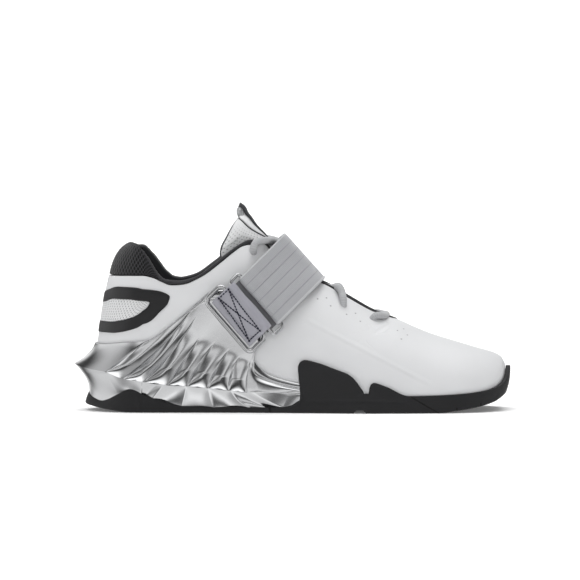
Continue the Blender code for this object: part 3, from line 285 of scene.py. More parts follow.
# Heel frame: outer and inner edge of the raised band, from the heel's back round the loop and back
LOOP = Table(
    ("outer", "outer_height", "inner", "inner_height"),
    (
        (-100, 69.2, -100, 63.0), (-70, 70.9, -72, 64.1), (-40, 73.0, -46.9, 65.9), (-15, 72.9, -20, 65.8),
        (-2.1, 72.2, -5, 65.1), (4.7, 70.7, 1.0, 64.8), (7.5, 67.4, 1.9, 63.9), (7.0, 63.5, 1.5, 62.0),
        (4.7, 58.4, 0.2, 59.5), (1.0, 51.9, -10, 56.1), (-15.3, 48.0, -27.8, 53.7),
        (-44.8, 46.0, -51.5, 52.4), (-75, 46.0, -76, 52.5), (-100, 46.0, -100, 52.6),
    ),
)

# Tongue: middle and edge in percent of the toe's reach and the tongue's height, width of its own
TONGUE = Table(
    ("middle", "middle_height", "edge", "edge_height", "width"),
    (
        (69.3, 39.4, 69.3, 36.5, 30), (63.8, 45.0, 63.0, 41.5, 52), (56.3, 53.0, 55.1, 45.8, 72),
        (50.0, 57.8, 48.0, 49.0, 86), (43.3, 65.6, 40.2, 55.0, 96), (38.6, 73.8, 33.1, 62.0, 100),
        (35.8, 80.6, 25.4, 70.2, 100), (33.6, 85.2, 21.3, 78.8, 100), (30.1, 90.9, 23.2, 86.7, 90),
        (28.1, 94.8, 25.1, 92.6, 62), (27.2, 96.0, 26.3, 95.4, 28),
    ),
)


@dataclass(frozen=True)
class Last:
    """The form that the whole shoe is built on: sections across the foot, from the footbed to the rim."""

    toe_reach: float = 0.254
    ball_width: float = 0.100
    heel_width: float = 0.073
    collar_height: float = 0.1196
    heel_stack: float = 0.027
    forefoot_stack: float = 0.008
    toe_spring: float = 0.011
    toe_start: float = 80.0
    toe_power: float = 2.4
    width_blend: float = 50.0
    # Length of a station round the heel against one along the foot
    turn_length: float = 0.2256

    def width(self, station: Number) -> Array:
        """Width that the upper's table is a share of: the heel's, growing into the ball's."""
        share = share_between(np.asarray(station, float), 0, self.width_blend)
        return self.heel_width + (self.ball_width - self.heel_width) * share

    def footbed(self, station: Number) -> Array:
        """Height of the surface that the foot stands on."""
        drop, spring = DROP.at("drop", station), SPRING.at("spring", station)
        return self.forefoot_stack + (self.heel_stack - self.forefoot_stack) * drop + self.toe_spring * spring

    def controls(self, station: Number, side: Side) -> list[tuple[Array, Array]]:
        """Four control points of a section.

        Args:
            station: Where the section stands.
            side: -1 for the outer side, 1 for the inner one.

        Returns:
            Distances from the middle line and heights of the foot, the low, the high and the rim point.
        """
        station = np.clip(np.asarray(station, float), -100, 100)
        unit = self.width(station)
        col = {name: UPPER.at(name, station) for name in UPPER.columns[1:]}
        late = share_between(station, self.toe_start, 100)
        toe = (1 - late ** self.toe_power) ** (1 / self.toe_power)
        half = np.where(np.asarray(side) < 0, col["outer"], col["inner"]) / 100 * unit * toe
        foot = (half, self.footbed(station))
        rim = (col["rim"] / 100 * unit, col["height"] / 100 * self.collar_height)
        length = np.hypot(rim[0] - foot[0], rim[1] - foot[1])
        lean, brow = np.radians(col["lean"]), np.radians(col["brow"])
        rise, reach = col["rise"] * length, col["reach"] * length
        low = (foot[0] - toe * rise * np.sin(lean), foot[1] + rise * np.cos(lean))
        high = (rim[0] + toe * reach * np.cos(brow), rim[1] - reach * np.sin(brow))
        return [foot, low, high, rim]

    @staticmethod
    def along(
        points: list[tuple[Array, Array]], t: Number, depth: Number = 0.0
    ) -> tuple[Array, Array]:
        """Distance and height on a section.

        Args:
            points: The section's control points.
            t: 0 at the footbed, 1 at the rim.
            depth: How far inside the outer face.

        Returns:
            Distance from the middle line and height.
        """
        u = 1 - t
        axes = list(zip(*points))
        r, z = (u ** 3 * a + 3 * u ** 2 * t * b + 3 * u * t ** 2 * c + t ** 3 * d for a, b, c, d in axes)
        dr, dz = (u ** 2 * (b - a) + 2 * u * t * (c - b) + t ** 2 * (d - c) for a, b, c, d in axes)
        size = np.hypot(dr, dz) + 1e-12
        return r - depth * dz / size, z + depth * dr / size

    def wall(self, station: Array, side: Side, t: Number, depth: Number = 0.0) -> tuple[Array, Array]:
        """Distance from the middle line and height at a depth under the outer face."""
        return self.along(self.controls(station, side), t, depth)

    def share_at(self, station: Array, side: Side, z: Array, depth: Number = 0.0) -> Array:
        """The t at which the wall, or the face at a depth inside it, reaches a height."""
        station, side, z = np.broadcast_arrays(np.asarray(station, float), side, np.asarray(z, float))
        points = self.controls(station, side)
        low, high = np.zeros(z.shape), np.ones(z.shape)
        for _ in range(24):
            middle = (low + high) / 2
            above = self.along(points, middle, depth)[1] > z
            high = np.where(above, middle, high)
            low = np.where(above, low, middle)
        return (low + high) / 2

    def radius(self, station: Array, side: Side, z: Array, depth: Number = 0.0) -> Array:
        """Distance of the wall from the middle line at a height."""
        t = self.share_at(station, side, z, depth)
        return self.wall(np.broadcast_to(station, t.shape), side, t, depth)[0]

    def run(self, station: Number) -> Array:
        """Length along the last for a station, counted in stations of the straight part."""
        return np.where(np.asarray(station) < 0, np.asarray(station) * self.turn_length, station)

    def station(self, run: Number) -> Array:
        """The station at a length along the last."""
        return np.where(np.asarray(run) < 0, np.asarray(run) / self.turn_length, run)

    def swing(self, station: Number) -> Array:
        """How far the middle line has swung to the inner side."""
        return BEND.at("swing", station) / 100 * self.ball_width

    def plan(self, station: Number, side: Side, r: Number) -> tuple[Array, Array]:
        """X and Y of a point at a distance from the middle line."""
        station = np.asarray(station, float)
        turn = np.radians(np.clip(-station, 0, 100) * 0.9)
        along = np.clip(station, 0, 100)
        return along / 100 * self.toe_reach - r * np.sin(turn), self.swing(along) + side * r * np.cos(turn)

    def on_wall(self, station: Array, side: int, t: Array, depth: Number = 0.0) -> Array:
        """Points on the wall, or at a depth inside it, at shares of its height."""
        r, z = self.wall(station, side, t, depth)
        x, y = self.plan(np.broadcast_to(station, r.shape), side, r)
        return np.stack(np.broadcast_arrays(x, y, z), axis=-1)

    def skin(self, station: Number, side: int, z: Number, offset: Number = 0.0) -> Array:
        """Points on the upper's outline at given heights, pushed level outwards by an offset."""
        station, z, offset = np.broadcast_arrays(np.asarray(station, float), np.asarray(z, float), offset)
        x, y = self.plan(station, side, self.radius(station, side, z))
        step = np.minimum(0.4, (100 - np.clip(station, -100, 100)) * 0.25 + 0.0005)
        before, after = np.clip(station - step, -100, 100), np.clip(station + step, -100, 100)
        xb, yb = self.plan(before, side, self.radius(before, side, z))
        xa, ya = self.plan(after, side, self.radius(after, side, z))
        size = np.hypot(xa - xb, ya - yb) + 1e-12
        nx, ny = -side * (ya - yb) / size, side * (xa - xb) / size
        tip = np.where(station <= -99.99, -1.0, np.where(station >= 99.99, 1.0, 0.0))
        nx, ny = np.where(tip != 0, tip, nx), np.where(tip != 0, 0.0, ny)
        return np.stack([x + nx * offset, y + ny * offset, z], axis=-1)


LAST = Last()
FIT_GAP = 0.0003
CURVE_GAP = 0.0006
UPPER_WALL = 0.0022
SIDES = (-1, 1)
WELD = 1e-6
SHARP_EDGE = math.radians(50)


class Space(Enum):
    """What a pattern is laid out on."""

    OBJECT = "Object"
    SURFACE = "UV"


class Value:
    """A number in a material's node tree, whose arithmetic adds its Math nodes."""

    def __init__(self, bench: "Bench", socket: bpy.types.NodeSocket) -> None:
        """Wrap a socket of a bench's tree."""
        self.bench = bench
        self.socket = socket

    def math(self, operation: str, *others: "Value | float", swap: bool = False) -> "Value":
        """Add a Math node.

        Args:
            operation: The node's operation.
            others: Its further inputs.
            swap: True puts this value second.

        Returns:
            The node's result.
        """
        values = [self, *others]
        if swap:
            values = values[::-1]
        node = self.bench.node("ShaderNodeMath", {"operation": operation}, dict(enumerate(values)))
        return Value(self.bench, node.outputs[0])

    def __add__(self, other: "Value | float") -> "Value":
        """Sum."""
        return self.math("ADD", other)

    __radd__ = __add__

    def __sub__(self, other: "Value | float") -> "Value":
        """Difference."""
        return self.math("SUBTRACT", other)

    def __rsub__(self, other: float) -> "Value":
        """Difference from a number."""
        return self.math("SUBTRACT", other, swap=True)

    def __mul__(self, other: "Value | float") -> "Value":
        """Product."""
        return self.math("MULTIPLY", other)

    __rmul__ = __mul__

    def __truediv__(self, other: "Value | float") -> "Value":
        """Quotient."""
        return self.math("DIVIDE", other)

    def __pow__(self, other: float) -> "Value":
        """Power."""
        return self.math("POWER", other)

    def sin(self) -> "Value":
        """Sine."""
        return self.math("SINE")

    def size(self) -> "Value":
        """Absolute value."""
        return self.math("ABSOLUTE")

    def part(self) -> "Value":
        """What is left after whole numbers."""
        return self.math("FRACT")

    def least(self, other: "Value | float") -> "Value":
        """The smaller of two."""
        return self.math("MINIMUM", other)

    def most(self, other: "Value | float") -> "Value":
        """The larger of two."""
        return self.math("MAXIMUM", other)

    def step(self, low: float, high: float) -> "Value":
        """A soft step from 0 at low to 1 at high."""
        node = self.bench.node(
            "ShaderNodeMapRange",
            {"interpolation_type": "SMOOTHSTEP"},
            {"Value": self, "From Min": low, "From Max": high},
        )
        return Value(self.bench, node.outputs["Result"])


class Bench:
    """Where a material's node tree is put together."""

    def __init__(self, name: str) -> None:
        """Start a material with an empty tree.

        Args:
            name: The material's name.
        """
        self.material = bpy.data.materials.new(name)
        self.material.use_nodes = True
        self.tree = self.material.node_tree
        self.tree.nodes.clear()

    @classmethod
    def on(cls, tree: bpy.types.NodeTree) -> "Bench":
        """A bench on a tree that is there already, emptied first."""
        made = cls.__new__(cls)
        made.tree = tree
        tree.nodes.clear()
        return made

    def node(
        self,
        kind: str,
        settings: dict[str, object] | None = None,
        inputs: dict[str | int, object] | None = None,
        stops: Sequence[tuple[float, Colour]] = (),
    ) -> bpy.types.Node:
        """Add a node.

        Args:
            kind: The node's type.
            settings: Its own properties, set first.
            inputs: Values or links of its sockets.
            stops: Places and colours of its ramp.

        Returns:
            The node.
        """
        made = self.tree.nodes.new(kind)
        for name, value in (settings or {}).items():
            setattr(made, name, value)
        for k, (place, colour) in enumerate(stops):
            stop = made.color_ramp.elements[k] if k < 2 else made.color_ramp.elements.new(place)
            stop.position = place
            stop.color = (*colour, 1.0)
        for name, value in (inputs or {}).items():
            socket = made.inputs[name]
            if isinstance(value, Value):
                self.tree.links.new(value.socket, socket)
            elif isinstance(value, bpy.types.NodeSocket):
                self.tree.links.new(value, socket)
            else:
                socket.default_value = value
        return made

    def axes(self, space: Space) -> tuple[Value, Value, Value]:
        """The three coordinates of a space, in metres."""
        source = self.node("ShaderNodeTexCoord").outputs[space.value]
        split = self.node("ShaderNodeSeparateXYZ", inputs={0: source})
        return tuple(Value(self, output) for output in split.outputs)

    def noise(self, scale: float, detail: float = 2.0, stretch: Colour = (1.0, 1.0, 1.0)) -> Value:
        """Even noise over the object, about 0.5.

        Args:
            scale: Blotches to a metre.
            detail: How many finer layers it has.
            stretch: Factors on the three axes.

        Returns:
            The noise.
        """
        source = self.node("ShaderNodeTexCoord").outputs["Object"]
        placed = self.node("ShaderNodeMapping", inputs={"Vector": source, "Scale": stretch})
        inputs = {"Vector": placed.outputs[0], "Scale": scale, "Detail": detail}
        return Value(self, self.node("ShaderNodeTexNoise", inputs=inputs).outputs["Fac"])

    def waves(self, along: Value, pitch: float, shift: Value | float = 0.0) -> Value:
        """A sine from 0 to 1 that repeats at a pitch in metres."""
        return (along * (2 * math.pi / pitch) + shift).sin() * 0.5 + 0.5

    def mix(self, factor: Value, first: Paint, second: Paint) -> bpy.types.NodeSocket:
        """A colour between two.

        Args:
            factor: 0 gives the first, 1 the second.
            first: A colour or a link.
            second: A colour or a link.

        Returns:
            The mixed colour.
        """
        ends = {
            key: value if isinstance(value, bpy.types.NodeSocket) else (*value, 1.0)
            for key, value in ((6, first), (7, second))
        }
        return self.node("ShaderNodeMix", {"data_type": "RGBA"}, {0: factor, **ends}).outputs[2]

    def dots(self, across: Value, along: Value, pitch: float, hole: float) -> Value:
        """Round holes on a diagonal grid: 1 in a hole, 0 between them.

        Args:
            across: First coordinate.
            along: Second coordinate.
            pitch: Grid distance in metres.
            hole: A hole's radius in metres.

        Returns:
            The holes' mask.
        """
        nearest = None
        for shift in (0.0, 0.5):
            parts = [((axis / pitch + shift).part() - 0.5) * pitch for axis in (across, along)]
            distance = (parts[0] * parts[0] + parts[1] * parts[1]) ** 0.5
            nearest = distance if nearest is None else nearest.least(distance)
        return 1 - nearest.step(hole * 0.7, hole * 1.25)

    def finish(
        self,
        colour: Paint,
        roughness: float | Value,
        height: Value | None = None,
        relief: float = 0.0002,
        **extra: float | Colour | Value,
    ) -> bpy.types.Material:
        """Close the tree with its shader.

        Args:
            colour: The base colour.
            roughness: How matt it is.
            height: Relief from 0 to 1.
            relief: How high that relief is, in metres.
            extra: Other inputs of the shader by name, with _ for a space.

        Returns:
            The material.
        """
        inputs: dict[str | int, object] = {"Roughness": roughness}
        inputs["Base Color"] = colour if isinstance(colour, bpy.types.NodeSocket) else (*colour, 1.0)
        for name, value in extra.items():
            inputs[name.replace("_", " ")] = (*value, 1.0) if isinstance(value, tuple) else value
        if height is not None:
            bump = self.node("ShaderNodeBump", inputs={"Height": height, "Distance": relief, "Strength": 1.0})
            inputs["Normal"] = bump.outputs[0]
        shader = self.node("ShaderNodeBsdfPrincipled", inputs=inputs)
        self.node("ShaderNodeOutputMaterial", inputs={"Surface": shader.outputs[0]})
        return self.material


@dataclass(frozen=True)
class Rubber:
    """Moulded rubber, smooth on its sides and with a fine tread below, with painted shade in its cuts and
    seam line.
    """

    name: str = "moulded_rubber"
    colour: Colour = (0.011, 0.011, 0.012)
    roughness: float = 0.5
    tread_pitch: float = 0.0052
    tread_height: float = 0.0006
    # Fine cuts: place along X, height that each reaches, half its width, in metres
    cuts: tuple[tuple[float, float, float], ...] = (
        (0.0889, 0.0040, 0.0008), (0.2191, 0.0040, 0.0006), (0.2359, 0.0070, 0.0006),
        (0.2541, 0.0125, 0.0006),
    )
    seam_start: tuple[float, float] = (0.1883, 0.0109)
    seam_slope: tuple[float, float] = (0.506, 0.863)
    seam_half: float = 0.00035

    def build(self) -> bpy.types.Material:
        """The material."""
        bench = Bench(self.name)
        x, y, z = bench.axes(Space.OBJECT)
        cloud, grain = bench.noise(28, 3), bench.noise(2600, 2)
        below = 1 - z.step(0.0004, self.tread_height * 2)
        ribs = ((x + (y * 160).sin() * 0.0014) / self.tread_pitch).part() - 0.5
        tread = ribs.size().step(0.32, 0.42)
        along = (x - self.seam_start[0]) * self.seam_slope[0] + (z - self.seam_start[1]) * self.seam_slope[1]
        near_seam = 1 - ((x - self.seam_start[0] - 0.008).size()).step(0.012, 0.014)
        marks = (1 - along.size().step(self.seam_half * 0.6, self.seam_half * 1.5)) * near_seam
        for place, reach, half in self.cuts:
            cut = (1 - (x - place).size().step(half * 0.7, half * 1.2)) * (1 - z.step(reach * 0.92, reach))
            marks = marks.most(cut)
        height = grain * 0.12 + tread * below - marks
        colour = bench.mix(cloud, self.colour, tuple(c * 1.5 for c in self.colour))
        # The tread's ridges underneath turn lighter grey; the cuts and the seam line are painted near-black,
        # painted shade in their grooves
        tread_tone_and_groove_shade = bench.mix(tread * below * 0.5, colour, (0.045, 0.044, 0.043))
        tread_tone_and_groove_shade = bench.mix(marks, tread_tone_and_groove_shade, (0.002, 0.002, 0.002))
        matt = cloud * 0.14 + self.roughness
        return bench.finish(tread_tone_and_groove_shade, matt, height, self.tread_height, Specular_IOR_Level=0.35)


@dataclass(frozen=True)
class Plating:
    """Bright plating over moulded plastic or wire."""

    name: str = "bright_plating"
    colour: Colour = (0.65, 0.655, 0.665)
    roughness: float = 0.13
    ripple: float = 0.000012

    def build(self) -> bpy.types.Material:
        """The material."""
        bench = Bench(self.name)
        cloud, orange_peel = bench.noise(34, 2), bench.noise(420, 1)
        colour = bench.mix(cloud, self.colour, tuple(c * 0.93 for c in self.colour))
        return bench.finish(colour, cloud * 0.07 + self.roughness, orange_peel, self.ripple, Metallic=1.0)


@dataclass(frozen=True)
class SyntheticSkin:
    """Smooth coated upper material with a very fine grain."""

    name: str = "synthetic_skin"
    colour: Colour = (0.635, 0.64, 0.65)
    shade: Colour = (0.575, 0.582, 0.593)
    roughness: float = 0.44
    # Soft raised line and soft fold: a point along X and up, the direction, half the width, first and last X
    line: tuple[float, ...] = (0.1138, 0.0650, 0.890, -0.456, 0.0013, 0.110, 0.205)
    fold: tuple[float, ...] = (0.1617, 0.0550, 0.894, 0.447, 0.0010, 0.159, 0.176)
    lift: float = 2.2
    relief: float = 0.00016

    @staticmethod
    def near(x: Value, z: Value, mark: tuple[float, ...]) -> Value:
        """1 on a straight mark, falling softly to 0 beside it and past its ends."""
        off = (z - mark[1]) * mark[2] - (x - mark[0]) * mark[3]
        ends = x.step(mark[5], mark[5] + 0.008) * (1 - x.step(mark[6] - 0.008, mark[6]))
        return (1 - off.size().step(0.0, mark[4] * 2)) * ends

    def build(self) -> bpy.types.Material:
        """The material."""
        bench = Bench(self.name)
        cloud, grain, pores = bench.noise(18, 3), bench.noise(1500, 3), bench.noise(4200, 1)
        x, _, z = bench.axes(Space.OBJECT)
        crease = bench.noise(60, 2, (1.0, 0.25, 1.2))
        at_ball = (1 - ((x - 0.168).size()).step(0.004, 0.032)) * z.step(0.038, 0.052)
        folds = ((crease - 0.5).size()).step(0.0, 0.045)
        marks = self.near(x, z, self.line) - self.near(x, z, self.fold)
        height = grain * 0.25 + pores * 0.12 + (1 - at_ball + at_ball * folds) * 0.8 + marks * self.lift
        colour = bench.mix(cloud.step(0.35, 0.8) * 0.6, self.colour, self.shade)
        matt = grain * 0.1 + self.roughness
        return bench.finish(colour, matt, height, self.relief, Coat_Weight=0.06, Coat_Roughness=0.3)


@dataclass(frozen=True)
class PerforatedMesh:
    """Cloth with small round holes on a diagonal grid."""

    name: str
    colour: Colour
    hole_colour: Colour
    pitch: float
    hole: float
    roughness: float = 0.75
    fade_from: float = 9.0
    fade_to: float = 10.0
    thread: float = 0.00045
    # A seam that the holes end at: factor on the height, and where it crosses the ground
    seam: tuple[float, float] | None = None

    def build(self) -> bpy.types.Material:
        """The material."""
        bench = Bench(self.name)
        u, v, _ = bench.axes(Space.SURFACE)
        x, _, z = bench.axes(Space.OBJECT)
        shown = 1 - z.step(self.fade_from, self.fade_to)
        if self.seam:
            shown = shown * (1 - (x + z * self.seam[0] - self.seam[1]).step(-0.0003, 0.0003))
        holes = bench.dots(u, v, self.pitch, self.hole) * shown
        threads = (bench.waves(u, self.thread) + bench.waves(v, self.thread)) * 0.5
        cloud = bench.noise(22, 2)
        cloth = bench.mix(cloud * 0.5, self.colour, tuple(c * 0.82 for c in self.colour))
        colour = bench.mix(holes, cloth, self.hole_colour)
        height = (1 - holes) * 0.45 + threads * 0.22 - shown * 0.6
        return bench.finish(colour, self.roughness, height, 0.0003, Sheen_Weight=0.1, Specular_IOR_Level=0.3)


@dataclass(frozen=True)
class BraidedCord:
    """Round braided cord, its strands crossing each other along the surface."""

    name: str
    colour: Colour
    shade: Colour
    around: float
    strands: int = 6
    pitch: float = 0.0032
    roughness: float = 0.75
    relief: float = 0.0001

    def build(self) -> bpy.types.Material:
        """The material."""
        bench = Bench(self.name)
        u, v, _ = bench.axes(Space.SURFACE)
        turn, run = v * (2 * math.pi * self.strands / self.around), u * (2 * math.pi / self.pitch)
        one, two = (turn + run).sin(), (turn - run).sin()
        weave = (one * two).step(-0.9, 0.9)
        fibre = bench.noise(2400, 2)
        colour = bench.mix(weave * 0.6 + fibre * 0.4, self.shade, self.colour)
        height = weave * 0.7 + fibre * 0.3
        return bench.finish(colour, self.roughness, height, self.relief, Sheen_Weight=0.2)


@dataclass(frozen=True)
class RibbedElastic:
    """Wide elastic: fine ribs along it with painted shade in their valleys, a thin dark line between its
    bands and a plain selvedge.
    """

    name: str = "ribbed_elastic"
    colour: Colour = (0.41, 0.415, 0.43)
    shade: Colour = (0.24, 0.245, 0.26)
    selvedge: Colour = (0.46, 0.465, 0.475)
    width: float = 0.042
    rib: float = 0.00095
    pick: float = 0.0008
    bands: int = 6
    edge: float = 0.0011
    relief: float = 0.00022
    roughness: float = 0.8

    def build(self) -> bpy.types.Material:
        """The material."""
        bench = Bench(self.name)
        u, v, _ = bench.axes(Space.SURFACE)
        across = self.width - (v - self.width).size()
        ribs = bench.waves(across, self.rib)
        picks = bench.waves(u, self.pick, ribs * 3.0)
        cloud, fibre = bench.noise(26, 2), bench.noise(1500, 3)
        band, half = self.width / self.bands, self.width / 2
        from_line = ((across * (1 / band) + 0.5).part() - 0.5).size() * band
        line = 1 - from_line.step(0.0001, 0.0004)
        side = (across - half).size().step(half - self.edge, half - self.edge * 0.8)
        # Darker in the valleys between the ribs as painted shade, and with the picks, random fibres and the
        # dark lines between the bands
        rib_shade_and_weave = (1 - ribs) * 0.28 + picks * 0.16 + fibre * 0.3 + line * 0.5
        shaded = bench.mix(cloud * 0.3, bench.mix(rib_shade_and_weave, self.colour, self.shade), self.shade)
        colour = bench.mix(side * 0.8, shaded, self.selvedge)
        woven = ribs * 0.5 + picks * 0.2 + fibre * 0.3 - line * 0.8
        height = woven * (1 - side) + side * (picks * 0.3 + 0.6)
        return bench.finish(colour, self.roughness, height, self.relief, Sheen_Weight=0.2)


@dataclass(frozen=True)
class Webbing:
    """Woven webbing in a fine twill."""

    name: str = "woven_webbing"
    colour: Colour = (0.385, 0.382, 0.42)
    shade: Colour = (0.27, 0.27, 0.31)
    twill: float = 0.0011
    roughness: float = 0.75

    def build(self) -> bpy.types.Material:
        """The material."""
        bench = Bench(self.name)
        u, v, _ = bench.axes(Space.SURFACE)
        one = bench.waves(u + v, self.twill)
        two = bench.waves(u - v * 0.4, self.twill * 0.45)
        cloud, fibre = bench.noise(40, 2), bench.noise(2600, 2)
        colour = bench.mix(one * 0.45 + two * 0.2 + cloud * 0.25, self.colour, self.shade)
        height = one * 0.5 + two * 0.3 + fibre * 0.2
        return bench.finish(colour, self.roughness, height, 0.0003, Sheen_Weight=0.15)


@dataclass(frozen=True)
class Moulded:
    """Plain moulded or coated finish with a light grain."""

    name: str
    colour: Colour
    roughness: float = 0.4
    grain: float = 1800.0
    relief: float = 0.00008
    metallic: float = 0.0

    def build(self) -> bpy.types.Material:
        """The material."""
        bench = Bench(self.name)
        cloud, grain = bench.noise(40, 2), bench.noise(self.grain, 2)
        colour = bench.mix(cloud * 0.8, self.colour, tuple(c * 0.8 for c in self.colour))
        return bench.finish(colour, grain * 0.15 + self.roughness, grain, self.relief, Metallic=self.metallic)


@dataclass(frozen=True)
class Lining:
    """Soft knitted lining of the insole."""

    name: str = "knitted_lining"
    colour: Colour = (0.055, 0.055, 0.06)
    loop: float = 0.0012
    roughness: float = 0.85

    def build(self) -> bpy.types.Material:
        """The material."""
        bench = Bench(self.name)
        x, y, _ = bench.axes(Space.OBJECT)
        loops = (x * (2 * math.pi / self.loop)).sin() * (y * (2 * math.pi / self.loop)).sin()
        cloud, fibre = bench.noise(30, 3), bench.noise(2000, 2)
        colour = bench.mix(loops.step(-0.6, 0.8) * 0.6 + cloud * 0.4, self.colour, (0.11, 0.11, 0.118))
        return bench.finish(colour, self.roughness, loops * 0.4 + fibre * 0.3, 0.0003, Sheen_Weight=0.3)


def arc_lengths(grid: Array) -> Array:
    """Lengths along a grid's surface.

    Args:
        grid: Rows of points.

    Returns:
        For each point its length along the rows and across them, in metres.
    """
    along = np.linalg.norm(np.diff(grid, axis=0), axis=2).mean(axis=1)
    across = np.linalg.norm(np.diff(grid, axis=1), axis=2).mean(axis=0)
    ends = [np.concatenate([[0], np.cumsum(steps)]) for steps in (along, across)]
    return np.stack(np.meshgrid(*ends, indexing="ij"), axis=-1)


def face_outwards(shell: bmesh.types.BMesh) -> None:
    """Turn a welded mesh's faces away from its middle."""
    bmesh.ops.recalc_face_normals(shell, faces=shell.faces)
    centre = sum((vert.co for vert in shell.verts), Vector()) / len(shell.verts)
    outward = 0.0
    for face in shell.faces:
        outward += (face.calc_center_median() - centre).dot(face.normal) * face.calc_area()
    if outward < 0:
        bmesh.ops.reverse_faces(shell, faces=shell.faces)


def surface(
    name: str, grids: Sequence[Array], finish: bpy.types.Material, closed: bool = False, capped: bool = False
) -> bpy.types.Object:
    """An object from grids of points, welded where they share points.

    Args:
        name: The object's name.
        grids: Grids of points: rows of sections.
        finish: Its material.
        closed: True joins each row's last point to its first.
        capped: True fills the open ends with flat faces.

    Returns:
        The object, smooth, with its surface lengths as UV map.
    """
    vertices, faces, lengths = [], [], []
    for grid in grids:
        grid = np.asarray(grid, float)
        if closed:
            grid = np.concatenate([grid, grid[:, :1]], axis=1)
        rows, columns = grid.shape[:2]
        start = len(vertices)
        vertices += [tuple(point) for point in grid.reshape(-1, 3)]
        flat = arc_lengths(grid).reshape(-1, 2)
        for i in range(rows - 1):
            for j in range(columns - 1):
                a, b = i * columns + j, (i + 1) * columns + j
                corners = (a, b, b + 1, a + 1)
                faces.append(tuple(start + k for k in corners))
                lengths += [flat[k] for k in corners]
    mesh = bpy.data.meshes.new(name)
    mesh.from_pydata(vertices, [], faces)
    layer = mesh.uv_layers.new(name="surface")
    layer.data.foreach_set("uv", np.asarray(lengths, np.float32).ravel())
    shell = bmesh.new()
    shell.from_mesh(mesh)
    bmesh.ops.remove_doubles(shell, verts=shell.verts, dist=WELD)
    bmesh.ops.dissolve_degenerate(shell, edges=shell.edges, dist=WELD / 10)
    if capped:
        bmesh.ops.holes_fill(shell, edges=[edge for edge in shell.edges if edge.is_boundary], sides=0)
    face_outwards(shell)
    shell.to_mesh(mesh)
    shell.free()
    return add_object(name, mesh, finish)


def add_object(name: str, mesh: bpy.types.Mesh, finish: bpy.types.Material) -> bpy.types.Object:
    """Put a mesh into the scene, smooth-shaded, with its material."""
    mesh.shade_smooth()
    mesh.set_sharp_from_angle(angle=SHARP_EDGE)
    mesh.materials.clear()
    mesh.materials.append(finish)
    made = bpy.data.objects.new(name, mesh)
    bpy.context.scene.collection.objects.link(made)
    return made


def curve_through(points: Array | list, count: int, ease: float = 0.0) -> Array:
    """Evenly spread points on a smooth curve through the given ones.

    Args:
        points: The given points.
        count: How many to return.
        ease: Share of the length over which corners are eased, 0 for none.

    Returns:
        The points, with the first and last of the given ones kept.
    """
    points = np.asarray(points, float)
    chord = run_lengths(points)
    fine = np.linspace(0, chord[-1], count * 8)
    line = np.stack([smooth_read(chord, column, fine) for column in points.T], axis=1)
    reach = int(len(line) * ease / 2)
    return evenly(eased(line, reach) if reach > 1 else line, count)


def frames_along(points: Array, cyclic: bool) -> tuple[Array, Array]:
    """Two directions square to a line at each point, turning with it as little as they can."""
    ahead = np.roll(points, -1, axis=0) - np.roll(points, 1, axis=0)
    if not cyclic:
        ahead[0], ahead[-1] = points[1] - points[0], points[-1] - points[-2]
    ahead = unit(ahead)
    side = np.cross(ahead[0], (0.0, 0.0, 1.0) if abs(ahead[0][2]) < 0.9 else (1.0, 0.0, 0.0))
    sides = []
    for direction in ahead:
        side = unit(side - direction * side.dot(direction))
        sides.append(side)
    sides = np.array(sides)
    return sides, np.cross(ahead, sides)


def tube(
    name: str, points: Array, thickness: float, finish: bpy.types.Material, around: int, cyclic: bool = False
) -> bpy.types.Object:
    """A round wire or cord along a line.

    Args:
        name: The object's name.
        points: The line's points.
        thickness: Its diameter in metres.
        finish: Its material.
        around: Faces round it.
        cyclic: True closes the line.

    Returns:
        The object, its ends rounded.
    """
    points = np.asarray(points, float)
    sides, ups = frames_along(points, cyclic)
    radii = np.full(len(points), thickness / 2)
    if not cyclic:
        turns = np.radians([90, 65, 40, 20])
        out = unit(np.array([points[0] - points[1], points[-1] - points[-2]])) * thickness / 2
        first = points[0] + out[0] * np.sin(turns)[:, None]
        last = points[-1] + out[1] * np.sin(turns[::-1])[:, None]
        points = np.concatenate([first, points, last])
        caps = np.cos(turns) * thickness / 2
        radii = np.concatenate([caps, radii, caps[::-1]])
        sides, ups = (np.pad(rows, ((len(turns), len(turns)), (0, 0)), "edge") for rows in (sides, ups))
    turn = np.linspace(0, 2 * math.pi, around, endpoint=False)
    ring = sides[:, None] * np.cos(turn)[None, :, None] + ups[:, None] * np.sin(turn)[None, :, None]
    grid = points[:, None] + ring * radii[:, None, None]
    if cyclic:
        grid = np.concatenate([grid, grid[:1]])
    return surface(name, [grid], finish, closed=True)


def solid_sheet(outer: Array, inner: Array) -> Array:
    """A closed section loop from an outer and an inner grid: one face out, the other back."""
    return np.concatenate([outer, inner[:, ::-1]], axis=1)


